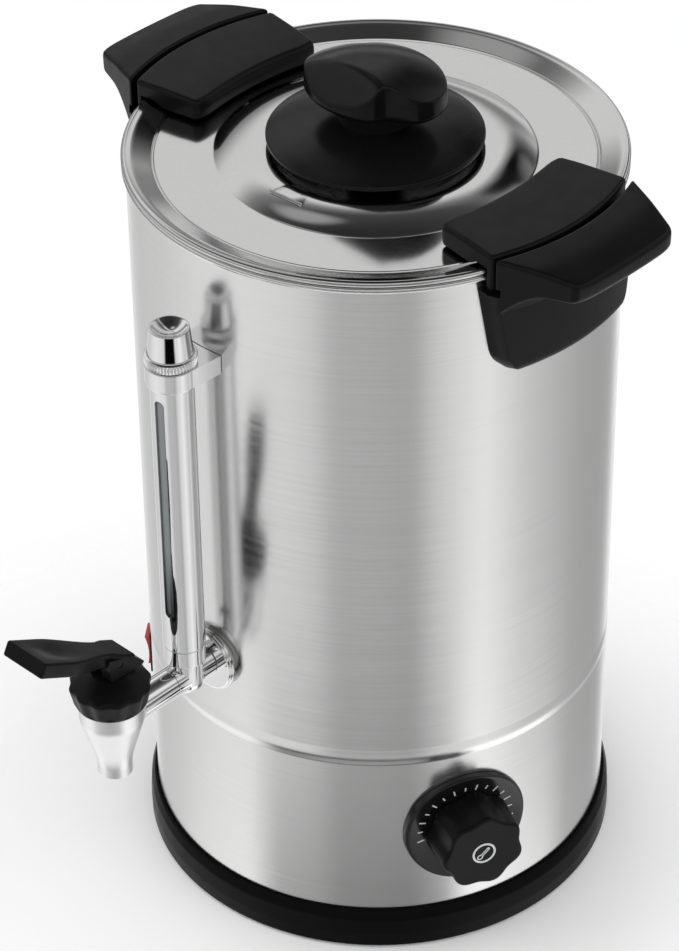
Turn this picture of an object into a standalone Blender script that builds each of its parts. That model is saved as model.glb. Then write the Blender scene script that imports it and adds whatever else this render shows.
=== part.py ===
"""Electric hot-water kettle with a tap, a sight gauge and a lift-off lid, built as separate pieces.

Metres, +Z up. The kettle's own axis stands at (0, AXIS_Y, 0), so that the origin is the middle of the
whole outline on the floor. The tap points to -Y and the two handles lie on +X and -X. A bearing is an
angle about the kettle's axis, in degrees from +X and anticlockwise from above.
"""
import math

import bmesh
import bpy
from mathutils import Matrix

# ---------------------------------------------------------------- driving sizes
GAP = 0.0003                  # clearance between pieces that touch
RUN = 0.00025                 # clearance round a shaft or a pin that turns or slides
TURNS = 40                    # facets round the large pressings
MIDDLE = 20                   # facets round fittings as big as the tap
SMALL = 12                    # facets round shafts and bores
TINY = 8                     # facets round screws

WALL_RADIUS = 0.1180          # outside of the tank wall
SHEET = 0.0008                # stainless sheet
RIM_PROUD = 0.0020            # both rolled rims outside the wall
ROLL_RADIUS = 0.0016          # radius of a rolled rim's section
RIM_Z = 0.3985                # middle of the wall's rolled rim
BEAD_Z = 0.1246               # locating bead at the tank floor
BEAD_PROUD = 0.0011
BEAD_HALF = 0.0036

FOOT_DROP = 0.0015            # how far the feet hold the base ring off the table
FOOT_RADIUS = 0.0095
FOOT_CIRCLE = 0.0900
FOOT_STUD = 0.0030
BASE_TOP_Z = 0.0234
BASE_PROUD = 0.0039           # the base ring outside the wall
BASE_TOP_EDGE = 0.0014        # width of the ring's top edge round the wall
BASE_SKIRT = 0.0030           # thickness of the ring's skirt
BASE_LEDGE_Z = 0.0070
BASE_LEDGE = 0.0025           # thickness of the ledge that carries the wall
BASE_LEDGE_WIDE = 0.0150      # how far the ledge reaches inside the wall
PLATE_SHEET = 0.0012
PLATE_VENT_CIRCLE = 0.0600
PLATE_VENT_HALF = 0.0025
BASE_SCREW_IN = 0.0095        # the base screws inside the wall

FLOOR_FLANGE = 0.0110
HEATER_RADIUS = 0.0800
HEATER_THICK = 0.0040
ELEMENT_CIRCLE = 0.0600
ELEMENT_TUBE = 0.0038
ELEMENT_LEADS = 0.0160
CUTOUT_RADIUS = 0.0085
CUTOUT_THICK = 0.0090
SENSOR_RADIUS = 0.0030
SENSOR_CIRCLE = 0.0450         # where the bulb starts, from the kettle's axis
SENSOR_LENGTH = 0.0300
SENSOR_WIRE = 0.0010

TAP_PIPE_Z = 0.1635
TAP_OUT = 0.0489              # the tap's upright axis from the gauge's
GAUGE_OUT = 0.0183            # the sight gauge's upright axis from the wall
PIPE_RADIUS = 0.0078
PIPE_BORE = 0.0050
TEE_FRONT = 0.0112            # from the gauge's axis to the joint with the tap
TEE_UP_RADIUS = 0.0086
COLLAR_RADIUS = 0.0102
COLLAR_LOW_UP = 0.0105        # the collar above the pipe's axis
COLLAR_TOP_UP = 0.0203
SOCKET_RADIUS = 0.0080
SOCKET_DEEP = 0.0075
NIPPLE_RADIUS = 0.0070
NIPPLE_IN = 0.0150            # how far the thread reaches into the tank
FLANGE_RADIUS = 0.0172
FLANGE_THICK = 0.0030
WASHER_RADIUS = 0.0130
WASHER_THICK = 0.0010
NUT_RADIUS = 0.0135
NUT_THICK = 0.0060

CONE_TOP_UP = 0.0122          # levels of the tap's body from its pipe's axis
CONE_SHOULDER_UP = 0.0030
CONE_SHOULDER_RADIUS = 0.0159
CONE_TOP_RADIUS = 0.0163
CONE_WALL = 0.0022
NOZZLE_TOP_DOWN = 0.0215
NOZZLE_RADIUS = 0.0086
NOZZLE_LIP = 0.0006
NOZZLE_LOW_DOWN = 0.0307
NOZZLE_BORE = 0.0052
SEAT_DOWN = 0.0135
PLUG_RADIUS = 0.0080
PLUG_THICK = 0.0055
PLUG_SOCKET = 0.0030
BONNET_LOW_RADIUS = 0.0171
BONNET_RADIUS = 0.0198
BONNET_WIDE_UP = 0.0119       # levels of the bonnet above the cone's mouth
BONNET_TOP_UP = 0.0190
BONNET_PLUG = 0.0036
BONNET_RIBS = 12
BONNET_RIB = 0.0005
SPINDLE_RADIUS = 0.0030
BONNET_LAND = 0.0090          # radius of the flat land on the bonnet's top, under the lever's hub
LEVER_TRAVEL = 30.0           # degrees that the lever is pressed down

LEVER_PIN = 0.0012            # radius of the lever's pin
LEVER_DROP = 0.0072           # the heel's sole below the pin
LEVER_HEEL = 0.0150           # how far the heel reaches behind the pin
LEVER_TOE = 0.0062            # how far its sole reaches in front of the pin
LEVER_HUB_HALF = 0.0085
LEVER_LENGTH = 0.0592
LEVER_ANGLE = 28.4
LEVER_THICK = 0.0078
LEVER_OFFSET = 0.0055         # top face above the pin, square to the lever
LEVER_HALF_END = 0.0132
LEVER_HALF_NECK = 0.0070
LEVER_BLADE = 0.0190          # length of the wide end
LEVER_FLARE = 0.0330          # length of the flare behind it
LEVER_DISH = 0.0016
LEVER_BACK = 0.0078           # how far the arm reaches behind its pin
TONGUE_HALF_X = 0.0019
TONGUE_HALF_Y = 0.0025
TONGUE_TOP = 0.0030
TONGUE_ROOT = 0.0020          # how deep the tongue starts in the round shaft

GUARD_RADIUS = 0.0104
GUARD_WALL = 0.0010
GUARD_SLOT = 0.0054
GUARD_SLOT_LOW = 0.0229
GUARD_SLOT_TOP = 0.0085
GUARD_TWIST = 9.0             # degrees that the slot is turned from -Y towards the right handle
GLASS_RADIUS = 0.0050
GLASS_WALL = 0.0012
HEAD_LOW_Z = 0.3373
HEAD_HIGH = 0.0105
HEAD_RADIUS = 0.0124
HEAD_ARM_HALF = 0.0134
HEAD_NIPPLE = 0.0085
HEAD_NIPPLE_UP = 0.0090
CAP_KNURL_RADIUS = 0.0125
CAP_KNURL_HIGH = 0.0046
CAP_LOW_RADIUS = 0.0118
CAP_TOP_RADIUS = 0.0104
CAP_HEIGHT = 0.0189
CAP_DISH = 0.0030
CAP_RIBS = 14
CAP_RIB = 0.0004
SEAL_THICK = 0.0016

CREST_IN = 0.0037             # the lid's crest inside its rolled rim
CREST_UP = 0.0012             # the lid's crest above the middle of its own rolled rim
TROUGH_WIDE = 0.0126          # from the crest in to the crease
CREASE_DROP = 0.0024          # the crease below the middle of the lid's rolled rim
FLAT_WIDE = 0.0272            # the flat ring, from the crease in to the raised step
STEP_WIDE = 0.0095
PLATEAU_UP = 0.0026           # plateau above the middle of the lid's rolled rim
SEAL_RING_GAP = 0.0006
SEAL_RING_WIDE = 0.0040
SEAL_RING_LOW = 0.0045        # the ring's lower edge below the middle of the wall's rim
VENT_IN = 0.0030              # the louvre's mouth inside the plateau's edge
VENT_HALF = 0.0115
VENT_RISE = 0.0018
VENT_DEEP = 0.0130
VENT_TURN = 3.5               # degrees that the louvre stands round from -Y

HANDLE_UP = 0.0135            # the handles' top above the middle of the wall's rim
HANDLE_DROOP = 0.0048         # how far the grip's top falls towards its outer end
HANDLE_PLATE = 0.0100
HANDLE_LONG = 0.0301          # the side grip, from the groove out
HANDLE_HALF_END = 0.0322
HANDLE_BOW = 0.0012
GRIP_CORNER = 0.0028          # rounding of the side grip's outer corners
HANDLE_EDGE = 0.0016
HANDLE_ROOT = 0.0092          # how far the grip's underside falls below the ledge
GROOVE_ANGLE = 22.1           # half the angle that a handle and its lid ear cover
EAR_PROUD = 0.0035            # the ear's leg outside the rolled rims
EAR_LEG = 0.0029
GROOVE = 0.0026
EAR_LONG = 0.0475             # from the leg in to the inner corners, along X
EAR_HALF_IN = 0.0402
EAR_CORNER = 0.0032           # rounding of the ear's inner corners
EAR_HOLLOW = 0.0050           # how far the inner edge curves back at its middle
EAR_UNDER = 0.0012            # height of the ear over the lid's flat ring
EAR_OVER_RIM = 0.0010
EAR_SCREW_IN = 0.0310         # the ear's screw inside its leg
EAR_BOSS = 0.0060
LEDGE_DOWN = 0.0053           # the bracket's ledge, below the middle of the wall's rim
BRACKET_DEEP = 0.0105         # the bracket's front outside the wall
BRACKET_HIGH = 0.0454         # the bracket, from its lower edge to its ledge
BRACKET_ANGLE_TOP = 23.9
BRACKET_ANGLE_LOW = 20.0
BRACKET_SIDE = 2.4            # degrees over which a side face falls back to the wall
CHANNEL_DEEP = 0.0025
CHANNEL_HIGH = 0.0036
LID_TURN = 14.0               # degrees from free to locked
LUG_PROUD = 0.0017
LUG_HIGH = 0.0025
LUG_FROM = -8.0
LUG_TO = 4.0
LUG_PLAY = 1.0                # degrees between a lug and its catch at rest, and past it when locked
CATCH_PROUD = 0.0020
CATCH_HIGH = 0.0030
STRAP_HALF_ANGLE = 11.0
STRAP_THICK = 0.0015
STRAP_HALF_HIGH = 0.0080
HANDLE_SCREW_UP = 0.0182      # the handle screw above the bracket's lower edge

SKIRT_RADIUS = 0.0517
SKIRT_UP = 0.0037             # skirt's lower edge above the plateau
SKIRT_EDGE = 0.0024
SKIRT_WALL = 0.0024
SKIRT_BOSS = 0.0120
SKIRT_HIGH = 0.0224           # the neck's top above the plateau
NECK_RADIUS = 0.0172
NECK_SHOULDER_UP = 0.0134
GRIP_BEARING = 8.0
GRIP_HALF_LONG = 0.0362
GRIP_HALF_WIDE = 0.0262
GRIP_LOW_UP = 0.0015          # levels of the grip above the neck
GRIP_WIDE_UP = 0.0045
GRIP_HIGH = 0.0230
GRIP_POWER = 2.1              # how square the outline is: 2 is an ellipse
GRIP_DENT = 0.20              # share of the radius that each thumb dent takes
GRIP_DENT_AT = -40.0          # degrees from the long axis
GRIP_DENT_WIDE = 16.0
GRIP_CROWN = 0.0560           # radius of the top's curve along the grip
GRIP_FACETS = ((-100.0, 0.0140, 52.0), (94.0, 0.0010, 27.0))
GRIP_DRAFT = 0.97
GRIP_SCREW_DEEP = 0.0150
SKIRT_SCREW_HEAD = 0.0045

DIAL_BEARING = -25.0
DIAL_Z = 0.0742
BEZEL_RADIUS = 0.0322
BEZEL_PROUD = 0.0060
BEZEL_RIM = 0.0022
BEZEL_DISH = 0.0024
DIAL_BUSH = 0.0045
DIAL_SPINDLE = 0.0030
DIAL_KNOB_RADIUS = 0.0207
DIAL_KNOB_LOBE = 0.0012
DIAL_KNOB_LOBES = 7
DIAL_KNOB_SET = -7.2          # degrees that the top lobe stands from straight up
DIAL_KNOB_LENGTH = 0.0230
DIAL_KNOB_LIFT = 0.0008
DIAL_KNOB_WALL = 0.0026
DIAL_KNOB_HOLLOW = 0.0120
DIAL_KNOB_BOSS = 0.0060
DIAL_SCREW_PITCH = 0.0240
DIAL_SCREW_HEAD = 0.0032
THERMOSTAT_HALF_Y = 0.0170
THERMOSTAT_HALF_Z = 0.0190
THERMOSTAT_DEEP = 0.0330

SWITCH_BEARING = -141.6
SWITCH_Z = 0.0930
SWITCH_FRAME_Y = 0.0090
SWITCH_FRAME_Z = 0.0125
SWITCH_FRAME = 0.0018
SWITCH_BODY_Y = 0.0075
SWITCH_BODY_Z = 0.0110
SWITCH_DEEP = 0.0170
ROCKER_HALF_Y = 0.0060
ROCKER_HALF_Z = 0.0094
ROCKER_PROUD = 0.0036
ROCKER_HOLLOW = 0.0012
ROCKER_ANGLE = 8.0
ROCKER_BACK = 0.0060
SWITCH_CAVITY_DEEP = 0.0110

INLET_BEARING = 90.0
INLET_Z = 0.0620
INLET_FRAME_Y = 0.0140
INLET_FRAME_Z = 0.0250
INLET_FRAME = 0.0022
INLET_BODY_Y = 0.0100
INLET_BODY_Z = 0.0135
INLET_DEEP = 0.0200
INLET_RECESS_Y = 0.0078
INLET_RECESS_Z = 0.0120
INLET_RECESS = 0.0160
INLET_CORNER = 0.0040
INLET_PIN_PITCH = 0.0070
INLET_SCREW_PITCH = 0.0400

SCREW_RADIUS = 0.0020
SCREW_HEAD = 0.0036
SCREW_HEAD_HIGH = 0.0018

# ---------------------------------------------------------------- sizes that follow
GAUGE_AXIS = WALL_RADIUS + GAUGE_OUT
TAP_AXIS = GAUGE_AXIS + TAP_OUT
RIM_RADIUS = WALL_RADIUS + RIM_PROUD
BASE_RADIUS = WALL_RADIUS + BASE_PROUD
BASE_LEDGE_IN = WALL_RADIUS - BASE_LEDGE_WIDE
BASE_SCREW_CIRCLE = WALL_RADIUS - BASE_SCREW_IN
COLLAR_LOW_Z = TAP_PIPE_Z + COLLAR_LOW_UP
COLLAR_TOP_Z = TAP_PIPE_Z + COLLAR_TOP_UP
CONE_TOP_Z = TAP_PIPE_Z + CONE_TOP_UP
CONE_SHOULDER_Z = TAP_PIPE_Z + CONE_SHOULDER_UP
NOZZLE_TOP_Z = TAP_PIPE_Z - NOZZLE_TOP_DOWN
NOZZLE_LOW_Z = TAP_PIPE_Z - NOZZLE_LOW_DOWN
SEAT_Z = TAP_PIPE_Z - SEAT_DOWN
BONNET_WIDE_Z = CONE_TOP_Z + BONNET_WIDE_UP
BONNET_TOP_Z = CONE_TOP_Z + BONNET_TOP_UP
HEAD_TOP_Z = HEAD_LOW_Z + HEAD_HIGH
CREST_RADIUS = RIM_RADIUS - CREST_IN
CREASE_RADIUS = CREST_RADIUS - TROUGH_WIDE
STEP_OUT = CREASE_RADIUS - FLAT_WIDE
STEP_IN = STEP_OUT - STEP_WIDE
VENT_RADIUS = STEP_IN - VENT_IN
EAR_OUT = RIM_RADIUS + EAR_PROUD
EAR_REACH = EAR_OUT - EAR_LONG
EAR_SCREW_AT = EAR_OUT - EAR_SCREW_IN
BRACKET_FRONT = WALL_RADIUS + BRACKET_DEEP
HANDLE_TOP_Z = RIM_Z + HANDLE_UP
LEDGE_Z = RIM_Z - LEDGE_DOWN
HANDLE_ROOT_Z = LEDGE_Z - HANDLE_ROOT
BRACKET_LOW_Z = LEDGE_Z - BRACKET_HIGH
HANDLE_SCREW_Z = BRACKET_LOW_Z + HANDLE_SCREW_UP
LEVER_TIP = (TAP_AXIS + LEVER_LENGTH * math.cos(math.radians(LEVER_ANGLE))
             + (LEVER_THICK - LEVER_OFFSET) * math.sin(math.radians(LEVER_ANGLE)))
INLET_BACK = WALL_RADIUS + 2 * GAP + INLET_FRAME + SCREW_HEAD_HIGH
AXIS_Y = (LEVER_TIP - max(BASE_RADIUS, INLET_BACK)) / 2
WALL_INSIDE = WALL_RADIUS - SHEET
FLOOR_Z = BEAD_Z + 0.0010
LID_RIM_Z = RIM_Z + 2 * ROLL_RADIUS + GAP
CREST_Z = LID_RIM_Z + CREST_UP
CREASE_Z = LID_RIM_Z - CREASE_DROP
PLATEAU_Z = LID_RIM_Z + PLATEAU_UP
SKIRT_TOP_Z = PLATEAU_Z + SKIRT_HIGH
NECK_SHOULDER_Z = PLATEAU_Z + NECK_SHOULDER_UP
GRIP_LOW_Z = SKIRT_TOP_Z + GRIP_LOW_UP
GRIP_WIDE_Z = SKIRT_TOP_Z + GRIP_WIDE_UP
GRIP_TOP_Z = SKIRT_TOP_Z + GRIP_HIGH
HANDLE_IN = EAR_OUT + GROOVE
HANDLE_REACH = HANDLE_IN + HANDLE_LONG
PLATE_Z = BASE_LEDGE_Z - BASE_LEDGE - GAP - PLATE_SHEET
FLANGE_AT = WALL_RADIUS + GAP + WASHER_THICK + GAP
TEE_JOINT = GAUGE_AXIS + TEE_FRONT
LEVER_PIN_Z = BONNET_TOP_Z + GAP + LEVER_DROP
SPINDLE_LIFT = BONNET_LAND * math.sin(math.radians(LEVER_TRAVEL))
CATCH_ANGLE = LID_TURN - 2 * LUG_PLAY
NIPPLE_TOP_Z = HEAD_TOP_Z + HEAD_NIPPLE_UP
HEATER_TOP_Z = FLOOR_Z - SHEET - GAP
HEATER_LOW_Z = HEATER_TOP_Z - HEATER_THICK
GAUGE_SCREW_Z = (HEAD_LOW_Z + HEAD_TOP_Z) / 2
DISH_FACE = WALL_RADIUS + BEZEL_PROUD - BEZEL_DISH
SWITCH_FACE = WALL_RADIUS + GAP + SWITCH_FRAME
SLOT_X = TONGUE_HALF_X + RUN

# ---------------------------------------------------------------- finishes
FINISHES = {
    "satin_steel": ((0.62, 0.62, 0.61), 0.30, 1.0),
    "polished_steel": ((0.72, 0.72, 0.71), 0.12, 1.0),
    "chrome": ((0.80, 0.80, 0.81), 0.05, 1.0),
    "black_moulding": ((0.020, 0.020, 0.021), 0.38, 0.0),
    "silicone": ((0.75, 0.74, 0.70), 0.55, 0.0),
    "rubber": ((0.03, 0.03, 0.03), 0.75, 0.0),
    "glass": ((0.70, 0.78, 0.76), 0.03, 0.0),
    "red_rocker": ((0.60, 0.02, 0.03), 0.22, 0.0),
    "aluminium": ((0.70, 0.70, 0.70), 0.40, 1.0),
    "zinc_steel": ((0.55, 0.56, 0.58), 0.40, 1.0),
}


# ---------------------------------------------------------------- modelling helpers
def clear_scene():
    """Remove every object that the file opened with."""
    for obj in list(bpy.data.objects):
        bpy.data.objects.remove(obj, do_unlink=True)


def finish_material(name):
    """One Principled material for each finish, made the first time that it is asked for."""
    if name in bpy.data.materials:
        return bpy.data.materials[name]
    color, roughness, metallic = FINISHES[name]
    mat = bpy.data.materials.new(name)
    mat.use_nodes = True
    shader = mat.node_tree.nodes["Principled BSDF"]
    shader.inputs["Base Color"].default_value = (*color, 1.0)
    shader.inputs["Roughness"].default_value = roughness
    shader.inputs["Metallic"].default_value = metallic
    return mat


def empty(name, parent=None, location=(0, 0, 0), bearing=0.0):
    """An empty that places the pieces under it; its +X points outwards along its bearing."""
    obj = bpy.data.objects.new(name, None)
    bpy.context.scene.collection.objects.link(obj)
    obj.parent = parent
    obj.location = location
    obj.rotation_euler = (0, 0, math.radians(bearing))
    return obj


def add(name, bm, finish, parent, location=(0, 0, 0), rotation=(0, 0, 0)):
    """Turn a bmesh into the named object, shade it and hang it on its parent."""
    bmesh.ops.recalc_face_normals(bm, faces=bm.faces)
    mesh = bpy.data.meshes.new(name)
    bm.to_mesh(mesh)
    bm.free()
    mesh.shade_smooth()
    mesh.set_sharp_from_angle(angle=math.radians(35))
    obj = bpy.data.objects.new(name, mesh)
    bpy.context.scene.collection.objects.link(obj)
    obj.data.materials.append(finish_material(finish))
    obj.parent = parent
    obj.location = location
    obj.rotation_euler = rotation
    return obj


def cutter(name, bm, parent, location=(0, 0, 0), rotation=(0, 0, 0)):
    """A hidden solid for Boolean modifiers."""
    obj = add(name, bm, "zinc_steel", parent, location, rotation)
    obj.hide_render = True
    obj.display_type = "WIRE"
    return obj


def cut(obj, *tools):
    """Take hidden solids away from a piece."""
    for tool in tools:
        boolean(obj, tool, "DIFFERENCE")
    return obj


def join(obj, *tools):
    """Unite a piece with hidden solids."""
    for tool in tools:
        boolean(obj, tool, "UNION")
    return obj


def boolean(obj, tool, operation):
    """Add one exact Boolean modifier."""
    mod = obj.modifiers.new(tool.name, "BOOLEAN")
    mod.operation = operation
    mod.solver = "EXACT"
    mod.object = tool


def soften(obj, width, segments=2, angle=40):
    """Round a piece's sharp edges."""
    mod = obj.modifiers.new("soft_edges", "BEVEL")
    mod.width = width
    mod.segments = segments
    mod.limit_method = "ANGLE"
    mod.angle_limit = math.radians(angle)
    return obj


def arc(centre, radius, start, end, steps):
    """Points on an arc in a plane, from one angle to another in degrees."""
    points = []
    for i in range(steps + 1):
        angle = math.radians(start + (end - start) * i / steps)
        points.append((centre[0] + radius * math.cos(angle), centre[1] + radius * math.sin(angle)))
    return points


def turned(bm, axis):
    """Lay a solid's +Z axis along +X or -Y."""
    if axis == "X":
        bmesh.ops.rotate(bm, verts=bm.verts, matrix=Matrix.Rotation(math.radians(90), 3, "Y"))
    if axis == "-Y":
        bmesh.ops.rotate(bm, verts=bm.verts, matrix=Matrix.Rotation(math.radians(90), 3, "X"))
    return bm


def lathe(profile, turns=MIDDLE, axis="Z"):
    """Spin a (radius, height) profile: a closed loop, or a line that starts and ends on the axis."""
    bm = bmesh.new()
    line = [bm.verts.new((r, 0, z)) for r, z in profile]
    edges = [bm.edges.new(pair) for pair in zip(line, line[1:])]
    if profile[0][0] > 0:
        edges.append(bm.edges.new((line[-1], line[0])))
    bmesh.ops.spin(bm, geom=line + edges, axis=(0, 0, 1), cent=(0, 0, 0),
                   angle=math.tau, steps=turns, use_merge=True)
    bmesh.ops.remove_doubles(bm, verts=bm.verts, dist=1e-6)
    return turned(bm, axis)


def rod(radius, low, high, turns=SMALL, axis="Z", edge=0.0):
    """A round bar between two heights, with its rims broken if an edge is given."""
    if edge:
        profile = [(0, low), (radius - edge, low), (radius, low + edge),
                   (radius, high - edge), (radius - edge, high), (0, high)]
    else:
        profile = [(0, low), (radius, low), (radius, high), (0, high)]
    return lathe(profile, turns, axis)


def ring(inner, outer, low, high, turns=SMALL, axis="Z"):
    """A plain ring between two radii and two heights."""
    return lathe([(inner, low), (outer, low), (outer, high), (inner, high)], turns, axis)


def loft(sections):
    """Skin a stack of loops that have the same number of points, and close both ends."""
    bm = bmesh.new()
    loops = [[bm.verts.new(p) for p in section] for section in sections]
    for low, high in zip(loops, loops[1:]):
        for i, vert in enumerate(low):
            j = (i + 1) % len(low)
            bm.faces.new((vert, low[j], high[j], high[i]))
    bm.faces.new(loops[0][::-1])
    bm.faces.new(loops[-1])
    return bm


def prism(outline, low, high):
    """Extrude a flat outline between two heights."""
    return loft([[(x, y, z) for x, y in outline] for z in (low, high)])


def block(low, high):
    """A box between two corners."""
    (x0, y0, z0), (x1, y1, z1) = low, high
    return prism([(x0, y0), (x1, y0), (x1, y1), (x0, y1)], z0, z1)


def sector(inner, outer, start, end, low, high, steps=10):
    """A slice of a ring between two bearings and two heights."""
    outline = arc((0, 0), outer, start, end, steps) + arc((0, 0), inner, end, start, steps)
    return prism(outline, low, high)


def rounded_box(half_y, half_z, corner, back, front):
    """A plate whose outline has round corners, square to +X."""
    outline = []
    for sign_y, sign_z, start in ((1, 1, 0), (-1, 1, 90), (-1, -1, 180), (1, -1, 270)):
        centre = (sign_y * (half_y - corner), sign_z * (half_z - corner))
        outline += arc(centre, corner, start, start + 90, 4)
    return loft([[(x, y, z) for y, z in outline] for x in (back, front)])


def screw(name, parent, location, rotation, length, head=SCREW_HEAD):
    """A pan-head screw: its head stands on z = 0 and its shank runs down."""
    profile = [(0, -length), (SCREW_RADIUS, -length), (SCREW_RADIUS, 0), (head, 0),
               (0.8 * head, SCREW_HEAD_HIGH), (0, SCREW_HEAD_HIGH)]
    return add(name, lathe(profile, TINY), "zinc_steel", parent, location, rotation)


OUTWARDS = (0, math.radians(90), 0)
INWARDS = (0, math.radians(-90), 0)
DOWNWARDS = (math.radians(180), 0, 0)


# ---------------------------------------------------------------- tank
def roll_angle(radius):
    """Where a sheet of the given radius meets the underside of a rolled rim, in degrees."""
    return math.degrees(math.acos((radius - (RIM_RADIUS - ROLL_RADIUS)) / ROLL_RADIUS))


def bead(radius):
    """The locating bead's section on a sheet of the given radius, upwards."""
    rows = ((-1.0, 0.0), (0.0, 1.0), (1.0, 0.0))
    return [(radius + proud * BEAD_PROUD, BEAD_Z + along * BEAD_HALF) for along, proud in rows]


def make_tank_wall(kettle, dial, switch, inlet, sides):
    """One sheet tube: a rolled rim at the top, the locating bead, and the skirt down to the base ring."""
    foot_z = BASE_LEDGE_Z + GAP
    roll = arc((RIM_RADIUS - ROLL_RADIUS, RIM_Z), ROLL_RADIUS,
               -roll_angle(WALL_RADIUS), 360 - roll_angle(WALL_INSIDE), 5)
    profile = [(WALL_RADIUS, foot_z)] + bead(WALL_RADIUS) + roll
    profile += bead(WALL_INSIDE)[::-1] + [(WALL_INSIDE, foot_z)]
    wall = add("tank_wall", lathe(profile, TURNS), "satin_steel", kettle)
    near, far = WALL_RADIUS - 0.02, WALL_RADIUS + 0.02
    tools = [
        cutter("hole_tap", rod(NIPPLE_RADIUS + GAP, near, far, SMALL, "-Y"), kettle, (0, 0, TAP_PIPE_Z)),
        cutter("hole_gauge", rod(SCREW_RADIUS + GAP, near, far, TINY, "-Y"), kettle, (0, 0, GAUGE_SCREW_Z)),
        cutter("hole_dial", rod(DIAL_BUSH + GAP, near, far, SMALL, "X"), dial),
        cutter("hole_switch", block((near, -SWITCH_BODY_Y - GAP, -SWITCH_BODY_Z - GAP),
                                    (far, SWITCH_BODY_Y + GAP, SWITCH_BODY_Z + GAP)), switch),
        cutter("hole_inlet", block((near, -INLET_BODY_Y - GAP, -INLET_BODY_Z - GAP),
                                   (far, INLET_BODY_Y + GAP, INLET_BODY_Z + GAP)), inlet),
    ]
    for sign in (-1, 1):
        spots = ((dial, "dial", DIAL_SCREW_PITCH), (inlet, "inlet", INLET_SCREW_PITCH))
        for station, name, pitch in spots:
            place = (0, sign * pitch / 2, 0) if name == "dial" else (0, 0, sign * pitch / 2)
            tools.append(cutter(f"hole_{name}_screw_{sign}", rod(SCREW_RADIUS + GAP, near, far, TINY, "X"),
                                station, place))
    for name, side in sides.items():
        tools.append(cutter(f"hole_handle_{name}", rod(SCREW_RADIUS + GAP, near, far, TINY, "X"),
                            side, (0, 0, HANDLE_SCREW_Z)))
    cut(wall, *tools)


def make_tank_floor(kettle):
    """The pressed floor with its flange turned down inside the wall."""
    rim = WALL_INSIDE - GAP
    low = FLOOR_Z - FLOOR_FLANGE
    corner = arc((rim - 0.003, FLOOR_Z - 0.003), 0.003, 0, 90, 1)
    inner = arc((rim - 0.003, FLOOR_Z - 0.003), 0.003 - SHEET, 90, 0, 1)
    profile = [(0, FLOOR_Z)] + corner[::-1] + [(rim, low), (rim - SHEET, low)] + inner[::-1]
    add("tank_floor", lathe(profile + [(0, FLOOR_Z - SHEET)], TURNS), "satin_steel", kettle)


def make_heater(kettle):
    """The heater plate, its sheathed element and the boil-dry cut-out under the tank floor."""
    add("heater_plate", rod(HEATER_RADIUS, HEATER_LOW_Z, HEATER_TOP_Z, TURNS), "aluminium", kettle)
    z = HEATER_LOW_Z - GAP - ELEMENT_TUBE
    open_half = 12.0
    path = [(x, y, z) for x, y in arc((0, 0), ELEMENT_CIRCLE, open_half, 360 - open_half, 18)]
    bend = ELEMENT_TUBE * 1.6
    for place, end in ((0, path[0]), (len(path) + 2, path[-1])):
        sign = 1 if end[1] > 0 else -1
        middle = (end[0], end[1] - sign * bend * 0.7, z - bend * 0.3)
        low = (end[0], end[1] - sign * bend, z - bend)
        leads = [(low[0], low[1], z - ELEMENT_LEADS), low, middle]
        path = leads + path if place == 0 else path + leads[::-1]
    add_tube("heating_element", path, ELEMENT_TUBE, "zinc_steel", kettle)
    body = [(0, -CUTOUT_THICK), (0.5 * CUTOUT_RADIUS, -CUTOUT_THICK),
            (0.5 * CUTOUT_RADIUS, -0.6 * CUTOUT_THICK), (CUTOUT_RADIUS, -0.6 * CUTOUT_THICK),
            (CUTOUT_RADIUS, 0), (0, 0)]
    add("boil_dry_cutout", lathe(body, SMALL), "aluminium", kettle, (0, 0, HEATER_LOW_Z - GAP))


def add_tube(name, path, radius, finish, parent, sides=2, swell=None):
    """A round tube along a line of points, with closed ends; swell scales its radius at each point."""
    curve = bpy.data.curves.new(name, "CURVE")
    curve.dimensions = "3D"
    curve.bevel_depth = radius
    curve.bevel_resolution = sides
    curve.use_fill_caps = True
    spline = curve.splines.new("POLY")
    spline.points.add(len(path) - 1)
    for i, place in enumerate(path):
        spline.points[i].co = (*place, 1.0)
        spline.points[i].radius = swell[i] if swell else 1.0
    curve.materials.append(finish_material(finish))
    obj = bpy.data.objects.new(name, curve)
    bpy.context.scene.collection.objects.link(obj)
    obj.parent = parent
    return obj


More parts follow.
